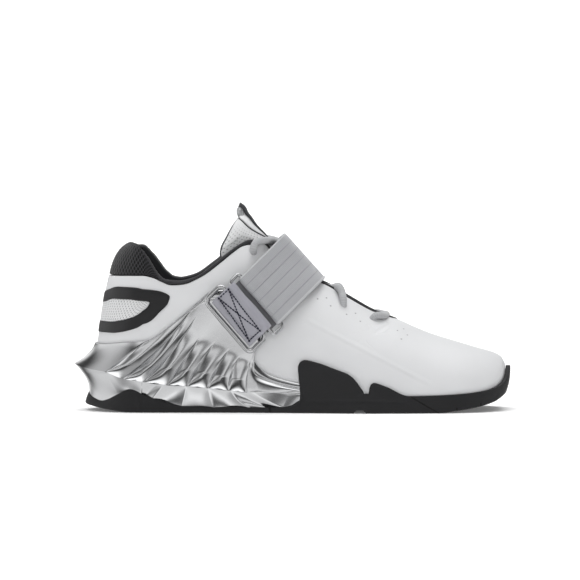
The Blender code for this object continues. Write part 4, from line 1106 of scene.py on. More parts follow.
class Repeater:
    """Geometry Nodes that set a small shape again and again, along a line or at marked points."""

    def __init__(self, name: str, sizes: dict[str, float]) -> None:
        """Start a tree.

        Args:
            name: The tree's name.
            sizes: Its named inputs and their usual values, in metres.
        """
        self.tree = bpy.data.node_groups.new(name, "GeometryNodeTree")
        add = self.tree.interface.new_socket
        for way in ("INPUT", "OUTPUT"):
            add("Geometry", in_out=way, socket_type="NodeSocketGeometry")
        self.sockets: dict[str, str] = {}
        for key, value in sizes.items():
            socket = add(key, in_out="INPUT", socket_type="NodeSocketFloat")
            socket.default_value = value
            self.sockets[key] = socket.identifier
        socket = add("Material", in_out="INPUT", socket_type="NodeSocketMaterial")
        self.sockets["Material"] = socket.identifier
        self.bench = Bench.on(self.tree)
        self.source = self.bench.node("NodeGroupInput").outputs

    def repeat(
        self,
        points: bpy.types.NodeSocket,
        shape: bpy.types.NodeSocket,
        axis: str,
        aim: bpy.types.NodeSocket,
        sizes: Sequence[str],
    ) -> None:
        """Set a shape on points, make it real and smooth, and give it the material.

        Args:
            points: The geometry whose points carry it.
            shape: The shape, one metre in size.
            axis: Its axis that turns to the aim.
            aim: The direction at each point.
            sizes: The named inputs that its three axes are scaled by.
        """
        node = self.bench.node
        scale = node("ShaderNodeCombineXYZ", inputs={k: self.source[key] for k, key in enumerate(sizes)})
        turned = node("FunctionNodeAlignRotationToVector", {"axis": axis}, {"Vector": aim})
        turn, size = turned.outputs[0], scale.outputs[0]
        inputs = {"Points": points, "Instance": shape, "Rotation": turn, "Scale": size}
        last = node("GeometryNodeInstanceOnPoints", inputs=inputs)
        for kind in ("RealizeInstances", "SetShadeSmooth", "SetMaterial"):
            last = node(f"GeometryNode{kind}", inputs={0: last.outputs[0]})
        self.tree.links.new(self.source["Material"], last.inputs["Material"])
        node("NodeGroupOutput", inputs={0: last.outputs[0]})

    def run(
        self,
        name: str,
        points: Array,
        edges: list[tuple[int, int]],
        aims: Array | None,
        values: dict[str, object],
    ) -> bpy.types.Object:
        """Run the tree on points and keep the result as a plain mesh.

        Args:
            name: The new object's name.
            points: Points of the line, or marked points.
            edges: The line's edges, empty for marked points.
            aims: A direction for each point, or None.
            values: The named inputs' values.

        Returns:
            The object.
        """
        guide_mesh = bpy.data.meshes.new(name + "_guide")
        guide_mesh.from_pydata([tuple(point) for point in points], edges, [])
        if aims is not None:
            layer = guide_mesh.attributes.new("aim", "FLOAT_VECTOR", "POINT")
            layer.data.foreach_set("vector", np.asarray(aims, np.float32).ravel())
        guide = bpy.data.objects.new(name + "_guide", guide_mesh)
        bpy.context.scene.collection.objects.link(guide)
        modifier = guide.modifiers.new("repeat", "NODES")
        modifier.node_group = self.tree
        for key, value in values.items():
            modifier[self.sockets[key]] = value
        evaluated = guide.evaluated_get(bpy.context.evaluated_depsgraph_get())
        mesh = bpy.data.meshes.new_from_object(evaluated)
        mesh.name = name
        guide.modifiers.remove(modifier)
        bpy.data.objects.remove(guide)
        made = bpy.data.objects.new(name, mesh)
        bpy.context.scene.collection.objects.link(made)
        return made


def stitch_tree() -> Repeater:
    """Thread stitches along a line, each a slim rounded bead lying on it."""
    made = Repeater("thread_stitches", {"Pitch": 0.0022, "Length": 0.0017, "Thread": 0.0007})
    node = made.bench.node
    line = node("GeometryNodeMeshToCurve", inputs={0: made.source["Geometry"]})
    steps = {0: line.outputs[0], "Length": made.source["Pitch"]}
    spread = node("GeometryNodeResampleCurve", {"mode": "LENGTH"}, steps)
    bead = node("GeometryNodeMeshUVSphere", inputs={"Segments": 8, "Rings": 6, "Radius": 0.5})
    tangent = node("GeometryNodeInputTangent")
    sizes = ("Length", "Thread", "Thread")
    made.repeat(spread.outputs[0], bead.outputs["Mesh"], "X", tangent.outputs[0], sizes)
    return made


def punch_tree() -> Repeater:
    """Punched holes at marked points, each a small dark dish that faces along the point's aim."""
    made = Repeater("punched_holes", {"Hole": 0.0022, "Depth": 0.00012})
    node = made.bench.node
    dish = node("GeometryNodeMeshUVSphere", inputs={"Segments": 16, "Rings": 6, "Radius": 0.5})
    aim = node("GeometryNodeInputNamedAttribute", {"data_type": "FLOAT_VECTOR"}, {"Name": "aim"})
    sizes = ("Hole", "Hole", "Depth")
    made.repeat(made.source["Geometry"], dish.outputs["Mesh"], "Z", aim.outputs[0], sizes)
    return made


def settle(made: bpy.types.Object, slot: str, *nodes: str) -> bpy.types.Object:
    """Fix a piece to the shoe.

    Args:
        made: The piece.
        slot: A material slot of the record; not used.
        nodes: The CAD nodes that it stands for.

    Returns:
        The piece.
    """
    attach(made, "root")
    if nodes:
        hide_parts(*nodes)
    log.info("%s: %d faces", made.name, len(made.data.polygons))
    return made


@dataclass
class Outsole:
    """Black rubber sole: thin under the heel clip, a cup with lobes and a toe bumper in front."""

    rim_height: float = 0.037
    rim_thickness: float = 0.002
    flare: float = 0.0052
    edge: float = 0.0014
    lip: float = 0.0008
    thickness: float = 0.003
    bevel: float = 0.0045
    bevel_start: float = 0.008
    bevel_run: float = 0.033
    notch_depth: float = 0.002
    notch: tuple[float, float] = (57.9, 61.4)
    rise: tuple[float, float] = (42.4, 44.3)
    groove_height: float = 0.0074
    groove_depth: float = 0.0007
    groove_width: float = 0.0011
    groove_span: tuple[float, float] = (0.112, 0.186)
    groove_fade: tuple[float, float] = (0.004, 0.01)
    # The groove's slow wave: its height, where along X it starts and its radians to a metre
    groove_wave: tuple[float, float, float] = (0.0008, 0.11, 42)
    finish: Rubber = Rubber()

    def ground(self, x: Array, station: Array | None = None) -> Array:
        """Height of the underside: flat, with a bevel at the heel, a flex notch and toe spring."""
        bevel = self.bevel * (np.clip(-x - self.bevel_start, 0, None) / self.bevel_run) ** 1.5
        spring = LAST.toe_spring * SPRING.at("spring", x / LAST.toe_reach * 100)
        notch = 0.0
        if station is not None:
            middle, half = sum(self.notch) / 2, (self.notch[1] - self.notch[0]) / 2
            notch = self.notch_depth * share_between(half - abs(station - middle), 0, half / 2)
        return bevel + spring + notch

    def profile(self, station: Array, v: Array) -> Array:
        """How far the side stands out, v from 0 at the floor to 1 at its top edge."""
        foot, belly, lip = (FLARE.at(name, station) for name in FLARE.columns[1:])
        return ((1 - v) ** 2 * foot + 2 * v * (1 - v) * belly + v ** 2 * lip) / 100 * self.flare

    def top(self, station: Array) -> Array:
        """Height of the top edge behind the front lobe."""
        pairs = [row[:2] for row in RIM.rows if row[0] <= self.rise[0]]
        return read_pairs(pairs, station) / 100 * self.rim_height

    def grid(self, side: int, count: int, up: int) -> Array:
        """One side of the sole as section loops.

        Args:
            side: -1 for the outer side, 1 for the inner one.
            count: How many sections.
            up: Points up the outer face.

        Returns:
            The grid, from the middle of the underside round to the middle of the floor.
        """
        place = np.linspace(0, len(RIM.rows) - 1, count)[:, None]
        top, ground_station = RIM.between("top", place), RIM.between("ground", place)
        rim = RIM.between("height", place) / 100 * self.rim_height
        foot = self.profile(top, 0.0)
        rise = share_between(ground_station, *self.rise)
        corner = LAST.skin(ground_station, side, 0.0, foot)
        low = self.ground(corner[..., 0], ground_station)

        def side_points(v: Array, inwards: bool) -> Array:
            """Points on the outer or the inner face, v from 0 at the floor to 1 at the top edge."""
            offset = self.profile(top, v)
            z = low + (rim - low) * v
            if inwards:
                in_heel = np.maximum(offset - self.rim_thickness, CURVE_GAP)
                offset = in_heel + (CURVE_GAP - in_heel) * rise
            else:
                offset = offset - self.edge * 0.8 * rounding((z - low) / self.edge)
                x = LAST.plan(ground_station, side, 0.0)[0]
                (first, last), (rise_in, fall_off) = self.groove_span, self.groove_fade
                spans = share_between(x, first, first + rise_in) * share_between(-x, -last, fall_off - last)
                height, start, turns = self.groove_wave
                wave = self.groove_height + height * np.sin((x - start) * turns)
                groove = np.exp(-((z - wave) / self.groove_width) ** 2)
                offset = offset - self.groove_depth * groove * spans
                offset = offset - self.lip * 0.75 * rounding((1 - v) * (rim - low) / self.lip)
            return LAST.skin(ground_station + (top - ground_station) * v, side, z, offset)

        foot_rows, lip_rows = np.linspace(0, 0.09, 5)[:-1], [0.955, 0.975, 0.99, 1.0]
        fine = np.concatenate([foot_rows, np.linspace(0.09, 0.93, up), lip_rows])
        outer = side_points(fine[None, :], False)
        middle = np.stack(LAST.plan(ground_station, side, 0.0), axis=-1)
        shares = np.linspace(0, 1, 5)[None, :, None]
        under = middle + (outer[:, :1, :2] - middle) * shares[:, :-1]
        under = np.concatenate([under, self.ground(under[..., 0])[..., None]], axis=-1)
        raised = LAST.footbed(ground_station) - FIT_GAP

        def bed(x: Array) -> Array:
            """Height of the sole's inner floor: thin at the heel, up to the footbed in front."""
            return (self.ground(x) + self.thickness) * (1 - rise) + raised * rise

        reach = (bed(corner[..., 0]) - low) / (rim - low)
        inner = side_points(1 + (reach - 1) * np.linspace(0, 1, 5)[None, :], True)
        floor = inner[:, -1:, :2] + (middle - inner[:, -1:, :2]) * shares[:, 1:]
        floor = np.concatenate([floor, bed(floor[..., 0])[..., None]], axis=-1)
        return np.concatenate([under, outer, inner, floor], axis=1)

    def build(self) -> None:
        """Make the sole."""
        grids = [self.grid(side, 401, 26) for side in SIDES]
        made = surface("rubber_outsole", grids, self.finish.build())
        settle(made, "black_rubber", "outsole")


@dataclass
class HeelClip:
    """Plated heel and midsole: ribbed sides that flare to a crest, a rear spur and wings for the strap."""

    flare: float = 0.0138
    edge: float = 0.0016
    base: float = 0.0023
    tube_swell: float = 0.0011
    tube_groove: float = 0.11
    lip: float = 0.02
    bead: float = 0.0008
    bead_width: float = 0.022
    first_rib: int = 3
    last_rib: int = 10
    flute_depth: float = 0.78
    flute_ledge: float = 0.5
    flute_start: float = 0.20
    rib_bead: float = 0.00045
    rib_bead_width: float = 0.045
    # How far up the scoops reach at the first and last rib, as shares of the way to the top
    flute_ends: tuple[float, float] = (1.0, 0.56)
    lower_flute: float = 0.0026
    # Lower flutes: the first one's station, their pitch and how far each has swung at the foot
    lower_start: float = 9.0
    lower_pitch: float = 6.2
    lower_swing: tuple[tuple[float, float], ...] = (
        (3.0, -3.0), (6.9, -2.5), (15.7, 0.3), (24.5, 2.8), (34.2, 7.2), (40.0, 9.0),
    )
    # Where the lower flutes begin and end, and how far back from there they run out
    lower_span: tuple[float, float] = (1.0, 31.0)
    lower_fade: tuple[float, float] = (3.0, 4.0)
    ledge_width: float = 0.045
    bead_place: float = 0.955
    rib_sharpness: float = 1.7
    tuck: float = 12.4
    finish: Plating = Plating()

    def scoop(self, turns: Array) -> Array:
        """Depth of a row of scoops, 0 on the sharp ridges at whole turns and 1 between them."""
        return 1 - abs(2 * (turns % 1) - 1) ** self.rib_sharpness

    def flutes(self, place: Array, w: Array) -> Array:
        """How deep the scoops between the ribs are above the crest.

        Args:
            place: Where along the rows, with a rib at each whole number.
            w: 0 at the crest, 1 at the top.

        Returns:
            Depth as a share of the flare, 0 on a rib.
        """
        among = (place >= self.first_rib) & (place <= self.last_rib)
        forward = share_between(place, self.first_rib, self.first_rib + 3)
        end = self.flute_ends[0] + (self.flute_ends[1] - self.flute_ends[0]) * forward
        ledge, start = np.exp(-w / self.ledge_width), np.exp(-w / self.flute_start)
        onset = 1 - self.flute_ledge * ledge - (1 - self.flute_ledge) * start
        fade = np.clip((end - w) / (end - 0.2), 0, 1)
        return self.flute_depth * among * self.scoop(place) * onset * fade ** 1.4

    def lower_flutes(self, station: Array, below: Array) -> Array:
        """How deep the flutes under the crest are, in metres.

        Args:
            station: Where along the shoe.
            below: 0 at the foot, 1 at the crest.

        Returns:
            Depth, 0 on the ridges between them.
        """
        spoke = station - read_pairs(self.lower_swing, station) * (1 - below)
        scoop = self.scoop((spoke - self.lower_start) / self.lower_pitch + 0.5)
        (first, last), (rise, fall) = self.lower_span, self.lower_fade
        among = share_between(spoke, first, first + rise) * share_between(-spoke, -last, fall - last)
        return self.lower_flute * among * scoop * (1 - below) ** 0.5 * (0.75 + 0.5 * below)

    def line(self, sole: Outsole, place: Array, v: Array) -> tuple[Array, Array, Array]:
        """The outer face's lines.

        Args:
            sole: The outsole that it stands on.
            place: Where along the rows.
            v: 0 at the foot, 1 at the crest, 2 at the top.

        Returns:
            Station, height and offset from the upper.
        """
        rows = range(len(CLIP.rows))
        col = {name: CLIP.between(name, place) for name in CLIP.columns}
        for name in ("foot", "crest", "bend", "top"):
            col[name] = smooth_read(rows, LAST.run(CLIP.column(name)), place)
        foot_z = sole.top(LAST.station(col["foot"])) - FIT_GAP
        crest_z = col["crest_height"] / 100 * LAST.heel_stack
        bend_z, top_z = (col[name] / 100 * LAST.collar_height for name in ("bend_height", "top_height"))
        below, w = np.clip(v, 0, 1), np.clip(v - 1, 0, 1)
        run = (1 - w) ** 2 * col["crest"] + 2 * w * (1 - w) * col["bend"] + w ** 2 * col["top"]
        z = (1 - w) ** 2 * crest_z + 2 * w * (1 - w) * bend_z + w ** 2 * top_z
        station = LAST.station(np.where(v < 1, col["foot"] + (col["crest"] - col["foot"]) * below, run))
        z = np.where(v < 1, foot_z + (crest_z - foot_z) * below, z)
        flare = col["flare"] / 100 * self.flare
        offset = self.edge + (flare - self.edge) * ((1 - w) ** 1.7 - self.flutes(place, w))
        to_end = len(CLIP.rows) - 1 - place
        tubes = share_between(place - self.last_rib, 0, 0.9) * share_between(to_end, 0, 0.6)
        groove = 1 - np.exp(-((w - 0.5) / self.tube_groove) ** 2)
        offset = offset + self.tube_swell * tubes * groove * np.sin(np.pi * w) ** 0.6 * (v >= 1)
        beaded = share_between(place - self.first_rib, 0, 0.5) * np.clip(self.last_rib + 1 - place, 0, 1)
        offset = offset + self.bead * beaded * np.exp(-(((w - self.bead_place) / self.bead_width) ** 2))
        from_rib = (place + 0.5) % 1 - 0.5
        up_to = 0.55 + 0.4 * np.clip((6 - place) / 2, 0, 1)
        among = (place > self.first_rib - 0.4) & (place < self.last_rib + 0.4) & (v >= 1)
        ribbed = among * np.clip(1 - w / up_to, 0, 1) ** 0.5
        offset = offset + self.rib_bead * ribbed * np.exp(-((from_rib / self.rib_bead_width) ** 2))
        steep = 1.15 + 1.2 * np.clip((self.first_rib - place) / self.first_rib, 0, 1)
        base = self.base * (1 - 0.7 * np.clip(place - self.tuck, 0, 1))
        under = base + (flare - base) * below ** steep - self.lower_flutes(station, below)
        offset = np.where(v < 1, np.maximum(under, 0.0003), offset)
        at_lip = share_between(v, 2 - self.lip, 2)
        return station, z, offset - (offset - CURVE_GAP) * 0.9 * (1 - np.sqrt(1 - at_lip ** 2 * 0.98))

    def build(self, sole: Outsole) -> None:
        """Make the clip.

        Args:
            sole: The outsole that it stands on.
        """
        last = len(CLIP.rows) - 1
        even = np.linspace(0, last, last * 28 + 1)
        place = (even - 0.55 * np.sin(2 * math.pi * even) / (2 * math.pi))[:, None]
        low = np.linspace(0, 0.985, 28)
        high = 1 + np.linspace(0.0, 1.0, 58) ** 1.35 * (1 - self.lip)
        edge = 2 - self.lip * (1 - np.sin(np.linspace(0.2, math.pi / 2, 5)))
        v = np.concatenate([low, high, edge])[None, :]
        grids = []
        for side in SIDES:
            station, z, offset = self.line(sole, place, v)
            outer = LAST.skin(station, side, z, offset)
            pick = np.linspace(0, v.shape[1] - 1, 14).round().astype(int)
            depth = np.where(v[:, pick] < 1, -3 * self.base, CURVE_GAP)
            inner = LAST.skin(station[:, pick], side, z[:, pick], depth)
            loop = np.concatenate([outer, inner[:, ::-1], outer[:, :1]], axis=1)
            back = np.linspace(0, len(pick) - 1, outer.shape[1]).round().astype(int)
            grids += [loop, np.stack([outer[-1], inner[-1][back]])]
        made = surface("plated_heel_clip", grids, self.finish.build())
        settle(made, "plated_heel", "heel_clip")


@dataclass
class Upper:
    """White shell on the last, with the black binding of its throat and its punched holes."""

    binding_end: float = 30.8
    eyestay_start: float = 32.2
    edging_span: tuple[float, float] = (31.4, 69.6)
    edging_width: float = 0.0030
    edging_lift: float = 0.0001
    finish: SyntheticSkin = SyntheticSkin()
    edging: Moulded = Moulded("dark_edging", (0.02, 0.02, 0.022), 0.5)
    dark: Moulded = Moulded("punched_grey", (0.42, 0.42, 0.43), 0.8)
    # Places of the punched holes on the outer side, along X and up, in metres
    holes: tuple[tuple[float, float], ...] = (
        (0.1222, 0.0788), (0.1284, 0.0794), (0.1313, 0.0740), (0.1424, 0.0680), (0.1487, 0.0686),
        (0.1520, 0.0632), (0.1780, 0.0566), (0.1824, 0.0575), (0.1849, 0.0535), (0.1806, 0.0510),
    )
    hole: float = 0.0013
    hole_depth: float = 0.00016
    hole_lift: float = 0.00002

    def top_share(self, station: Array, side: int) -> Array:
        """Where the white wall ends: under the collar at the binding line, else at the throat or toe."""
        at_binding = LAST.share_at(station, side, BINDING.at("height", station) / 100 * LAST.collar_height)
        share = share_between(station, self.binding_end, self.eyestay_start)
        return at_binding + (1 - at_binding) * share

    def shell(self) -> bpy.types.Object:
        """The white wall, with both its faces."""
        turns = np.radians(np.linspace(90, 0, 34))
        toe = LAST.toe_start + (100 - LAST.toe_start) * np.cos(turns) ** (2 / LAST.toe_power)
        heel, side_wall = np.linspace(-100, 0, 71)[:-1], np.linspace(0, LAST.toe_start, 181)[:-1]
        station = np.concatenate([heel, side_wall, toe])
        grids = []
        for side in SIDES:
            foot = LAST.share_at(station, side, LAST.footbed(station) + FIT_GAP)[:, None]
            top = self.top_share(station, side)[:, None]
            t = foot + (top - foot) * np.linspace(0, 1, 56)[None, :]
            grids.append(LAST.on_wall(station[:, None], side, t))
        made = surface("white_upper", grids, self.finish.build())
        wall = made.modifiers.new("wall", "SOLIDIFY")
        wall.thickness = UPPER_WALL
        wall.offset = -1
        wall.use_even_offset = True
        return made

    def rim_line(self, side: int) -> Array:
        """The throat's rim, in the middle of the wall."""
        station = np.linspace(*self.edging_span, 150)
        points = LAST.on_wall(station, side, np.ones(len(station)), UPPER_WALL / 2)
        return points + np.array([0.0, 0.0, self.edging_lift])

    def build(self, punch: Repeater) -> None:
        """Make the shell and what is sewn or punched into it.

        Args:
            punch: The tree that punches holes.
        """
        settle(self.shell(), "white_synthetic", "upper")
        edging = self.edging.build()
        outer, inner = (self.rim_line(side) for side in SIDES)
        whole = np.concatenate([outer, inner[::-1]])
        settle(tube("throat_binding", whole, self.edging_width, edging, 10), "black_frame")
        points, aims = [], []
        for x, z in self.holes:
            for side in SIDES:
                station = x / LAST.toe_reach * 100
                at, out = (LAST.skin(station, side, z, lift) for lift in (0.0, 0.001))
                near = LAST.skin(station, side, z + 0.001, 0.0)
                ahead = LAST.skin(station + 0.3, side, z, 0.0) - at
                normal = unit(np.cross(ahead, near - at))
                normal = normal * math.copysign(1.0, normal.dot(out - at))
                points.append(at + normal * self.hole_lift)
                aims.append(normal)
        values = {"Hole": self.hole, "Depth": self.hole_depth, "Material": self.dark.build()}
        settle(punch.run("vamp_holes", np.array(points), [], np.array(aims), values), "black_frame")


@dataclass
class Collar:
    """Padded black collar: over the rim from the binding line and down the inside of the heel."""

    end: float = 30.3
    pad: float = 0.0055
    depth: float = 0.030
    lining_gap: float = 0.0012
    hem: float = 0.0012
    swell: float = 0.0006
    crown: float = 0.0010
    # How far the inner side stands above the wall, by station
    inner_rise: tuple[tuple[float, float], ...] = (
        (-100, 0.0), (-40, 0.0), (-11, 0.0), (0, 0.0022), (1.4, 0.0044), (3.6, 0.0076), (5.8, 0.0052),
        (8.4, 0.0008), (11.0, 0.0), (100, 0.0),
    )
    piping: float = 0.0026
    piping_drop: float = 0.0009
    piping_start: float = 1.2
    finish: PerforatedMesh = PerforatedMesh(
        "black_mesh", (0.036, 0.036, 0.039), (0.0005,) * 3, 0.0027, 0.00078, 0.8, seam=(0.613, 0.0686)
    )
    cord: BraidedCord = BraidedCord("black_braid", (0.030, 0.030, 0.033), (0.005, 0.005, 0.006), 0.0082)

    def crest(self, side: int, station: Array) -> Array:
        """The padding's top as a share of the wall: higher than the wall behind the inner ankle."""
        tall = LAST.wall(station, side, 1.0)[1] - LAST.footbed(station)
        return 1 + (side > 0) * read_pairs(self.inner_rise, station) / tall

    def loops(self, upper: Upper, side: int, station: Array) -> Array:
        """Section loops of the padding on one side."""
        station = station[:, None]
        crest = self.crest(side, station)
        height = LAST.wall(station, side, 1.0)[1]
        start = upper.top_share(station, side)
        tall = height - LAST.footbed(station)
        low = np.minimum(LAST.share_at(station, side, height - self.depth), start - 0.08)
        back = UPPER_WALL + self.lining_gap
        begin = start + self.hem / tall
        up = np.linspace(0, 1, 12)[None, :]
        face = begin + (crest - begin) * up
        swell = self.swell * np.sin(np.pi * up) ** 0.7
        turn = np.linspace(0, math.pi, 9)[None, 1:]
        over = crest + self.crown * np.sin(turn) / tall
        over_depth = self.pad / 2 * (1 - np.cos(turn))
        inside = crest + (low - crest) * np.linspace(0.04, 1, 14)[None, :]
        inside_depth = self.pad + (back + self.hem - self.pad) * np.linspace(0, 1, 14)[None, :] ** 3
        return_t = low + (begin - low) * np.linspace(0.02, 1, 8)[None, :]
        shares = (face, over * np.ones_like(station), inside, return_t)
        depths = (-swell, over_depth, inside_depth, back)
        depth = [np.broadcast_to(value, share.shape) for value, share in zip(depths, shares)]
        return LAST.on_wall(station, side, np.concatenate(shares, axis=1), np.concatenate(depth, axis=1))

    def build(self, upper: Upper) -> None:
        """Make the padding and the braided piping on it.

        Args:
            upper: The shell that carries it.
        """
        station = np.concatenate([np.linspace(-100, 0, 60)[:-1], np.linspace(0, self.end, 90)])
        outer, inner = (self.loops(upper, side, station) for side in SIDES)
        whole = np.concatenate([outer[::-1], inner[1:]])
        made = surface("padded_collar", [whole], self.finish.build(), closed=True, capped=True)
        settle(made, "black_mesh_collar", "collar")
        line = np.linspace(self.piping_start, self.end - 0.5, 140)
        cord = self.cord.build()
        for side, name in zip(SIDES, ("outer", "inner")):
            points = LAST.on_wall(line, side, self.crest(side, line), self.piping * 0.45)
            points = points - np.array([0.0, 0.0, self.piping_drop])
            settle(tube(f"collar_piping_{name}", points, self.piping, cord, 16), "black_mesh_collar")


@dataclass
class HeelFrame:
    """Raised black band round the heel, with the white perforated mesh in its window."""

    relief: float = 0.0014
    seat: float = 0.0007
    sink: float = 0.0006
    mesh_lift: float = 0.00035
    mesh_thickness: float = 0.0002
    tip: float = 6.6
    finish: Moulded = Moulded("satin_band", (0.009, 0.009, 0.010), 0.38)
    mesh: PerforatedMesh = PerforatedMesh(
        "white_mesh", (0.68, 0.685, 0.69), (0.30, 0.30, 0.31), 0.0025, 0.00042
    )

    def band(self, side: int) -> Array:
        """Section loops of the band on one side."""
        place = np.linspace(0, len(LOOP.rows) - 1, 241)[:, None]
        col = {name: LOOP.between(name, place) for name in LOOP.columns}
        turn = np.linspace(0, math.pi, 17)[None, :]
        share = (1 - np.sign(np.cos(turn)) * abs(np.cos(turn)) ** 0.75) / 2
        station = col["outer"] + (col["inner"] - col["outer"]) * share
        relief = self.relief * (0.4 + 0.6 * np.clip((station + 100) / 50, 0, 1))
        low = self.seat - self.sink
        offset = low + (relief - low) * np.sin(turn) ** 0.5
        height = col["outer_height"] + (col["inner_height"] - col["outer_height"]) * share
        return LAST.skin(station, side, height / 100 * LAST.collar_height, offset)

    def window(self, side: int) -> Array:
        """A patch over the heel inside the band, a little under the band's edge."""
        along = np.linspace(0, 1, 90)[:, None]
        down = np.linspace(0, 1, 40)[None, :]
        last = len(LOOP.rows) - 1
        ends = []
        for place in (along * self.tip, last - along * (last - self.tip)):
            ends.append((LOOP.between("inner", place), LOOP.between("inner_height", place)))
        station = ends[0][0] + (ends[1][0] - ends[0][0]) * down
        height = ends[0][1] + (ends[1][1] - ends[0][1]) * down
        return LAST.skin(station, side, height / 100 * LAST.collar_height, self.mesh_lift)

    def build(self) -> None:
        """Make the band and the window's mesh."""
        made = surface("heel_band", [self.band(side) for side in SIDES], self.finish.build(), closed=True)
        settle(made, "black_frame", "heel_frame")
        patch = surface("heel_window_mesh", [self.window(side) for side in SIDES], self.mesh.build())
        cloth = patch.modifiers.new("cloth", "SOLIDIFY")
        cloth.thickness = self.mesh_thickness
        cloth.offset = -1
        settle(patch, "white_mesh_tongue")


@dataclass
class Tongue:
    """Padded tongue of perforated mesh, with a dark panel on its front and a bright tip."""

    height: float = 0.1396
    width: float = 0.040
    thickness: float = 0.004
    collar_pad: float = 0.0055
    collar_end: float = 32.2
    gap: float = 0.0018
    # The rolled end: its middle along X and up, half its length and thickness, its lean and half its width
    tip: tuple[float, float] = (0.0682, 0.1378)
    tip_size: tuple[float, float] = (0.0046, 0.0026)
    tip_lean: float = -76.0
    tip_half: float = 0.0080
    # Tongue rows and half the widths there of the pale panel and the dark stripe, as shares of the tongue's
    pale_halves: tuple[tuple[float, float], ...] = (
        (6.9, 0.06), (7.6, 0.24), (8.6, 0.46), (9.4, 0.66), (10, 0.80),
    )
    dark_halves: tuple[tuple[float, float], ...] = ((6.9, 0.05), (8.0, 0.10), (9.0, 0.18), (10, 0.34))
    # Thickness of panel and stripe at their lower and upper end
    panel: tuple[float, float] = (0.0006, 0.0021)
    stripe: tuple[float, float] = (0.0007, 0.0028)
    curl: float = 0.0075
    curl_turn: float = 38.0
    edging_start: float = 5.2
    edging_width: float = 0.0019
    panel_edging_width: float = 0.0010
    panel_edging_lift: float = 0.0002
    mesh: PerforatedMesh = PerforatedMesh(
        "tongue_mesh", (0.70, 0.705, 0.71), (0.34, 0.34, 0.35), 0.0029, 0.00042, 0.75, 0.119, 0.134
    )
    dark: Moulded = Moulded("dark_panel", (0.045, 0.045, 0.05), 0.5)
    edging: Moulded = Moulded("grey_edging", (0.07, 0.07, 0.075), 0.6)
    pale: Moulded = Moulded("pale_strip", (0.72, 0.725, 0.73), 0.5)
    bright: Moulded = Moulded("bright_tip", (0.55, 0.56, 0.57), 0.3, metallic=0.8)

    def base(self, place: Array, across: Array) -> Array:
        """Points on the middle surface, kept inside the upper and collar."""
        place, across = np.broadcast_arrays(np.asarray(place, float), np.asarray(across, float))
        col = {name: TONGUE.between(name, place) for name in TONGUE.columns}
        turn = abs(across) * math.pi / 2
        bow = 1 - np.cos(turn)
        x = (col["middle"] + (col["edge"] - col["middle"]) * bow) / 100 * LAST.toe_reach
        z = (col["middle_height"] + (col["edge_height"] - col["middle_height"]) * bow) / 100 * self.height
        y = col["width"] / 200 * self.width * np.sin(turn)
        station = x / LAST.toe_reach * 100
        in_collar = station < self.collar_end
        inside = z < LAST.wall(station, 1, 1.0)[1] + self.collar_pad * in_collar
        depth = np.where(in_collar, self.collar_pad, UPPER_WALL) + self.gap + self.thickness / 2
        limit = np.minimum(*(LAST.radius(station, side, z, depth) for side in SIDES))
        y = np.where(inside, np.minimum(y, limit), y)
        return np.stack([x, LAST.swing(station) + np.copysign(y, across), z], axis=-1)

    def point(self, place: Number, across: Number, rise: Number = 0.0) -> Array:
        """Points at a rise off the middle surface, towards the front."""
        place, across = np.broadcast_arrays(np.asarray(place, float), np.asarray(across, float))
        last = len(TONGUE.rows) - 1
        before, after = (self.base(np.clip(place + step, 0, last), across) for step in (-0.1, 0.1))
        sideways = self.base(place, across + 0.05) - self.base(place, across - 0.05)
        normal = unit(np.cross(sideways, after - before))
        return self.base(place, across) + normal * np.asarray(rise)[..., None]

    def pad(self) -> bpy.types.Object:
        """The padded body."""
        place = np.linspace(0, len(TONGUE.rows) - 1, 150)[:, None]
        across = np.linspace(-1, 1, 61)[None, :]
        edge, tip = (1 - abs(across)) / 0.16, (len(TONGUE.rows) - 1 - place) / 0.5
        half = self.thickness / 2 * (1 - 0.65 * rounding(edge)) * (1 - 0.6 * rounding(tip))
        loop = solid_sheet(self.point(place, across, half), self.point(place, across, -half))
        return surface("tongue_pad", [loop], self.mesh.build(), closed=True, capped=True)

    def strip(
        self,
        name: str,
        halves: Sequence[tuple[float, float]],
        seat: tuple[float, float],
        thickness: tuple[float, float],
        finish: bpy.types.Material,
        curl: float = 0.0,
    ) -> bpy.types.Object:
        """A flat strip lying on the tongue's front.

        Args:
            name: The object's name.
            halves: Tongue rows and half the strip's width there, as a share of the tongue's.
            seat: How far its underside lies off the tongue's middle surface, at its two ends.
            thickness: Its thickness at its two ends.
            finish: Its material.
            curl: Length of the end that curls back over the tip.

        Returns:
            The strip.
        """
        first, last = halves[0][0], halves[-1][0]
        place = np.linspace(first, last, 70)[:, None]
        share = np.linspace(-1, 1, 25)[None, :]
        across = share * read_pairs(halves, place)
        edge = 1 - abs(share) ** 8
        along = (place - first) / (last - first)
        low, thick = (ends[0] + (ends[1] - ends[0]) * along for ends in (seat, thickness))
        faces = []
        for sign in (1, -1):
            grid = self.point(place, across, low + thick / 2 * (1 + sign * (0.4 + 0.6 * edge)))
            if curl:
                grid = np.concatenate([grid, self.curled(grid, curl, sign * thickness[1] / 2.1)])
            faces.append(grid)
        return surface(name, [solid_sheet(*faces)], finish, closed=True, capped=True)

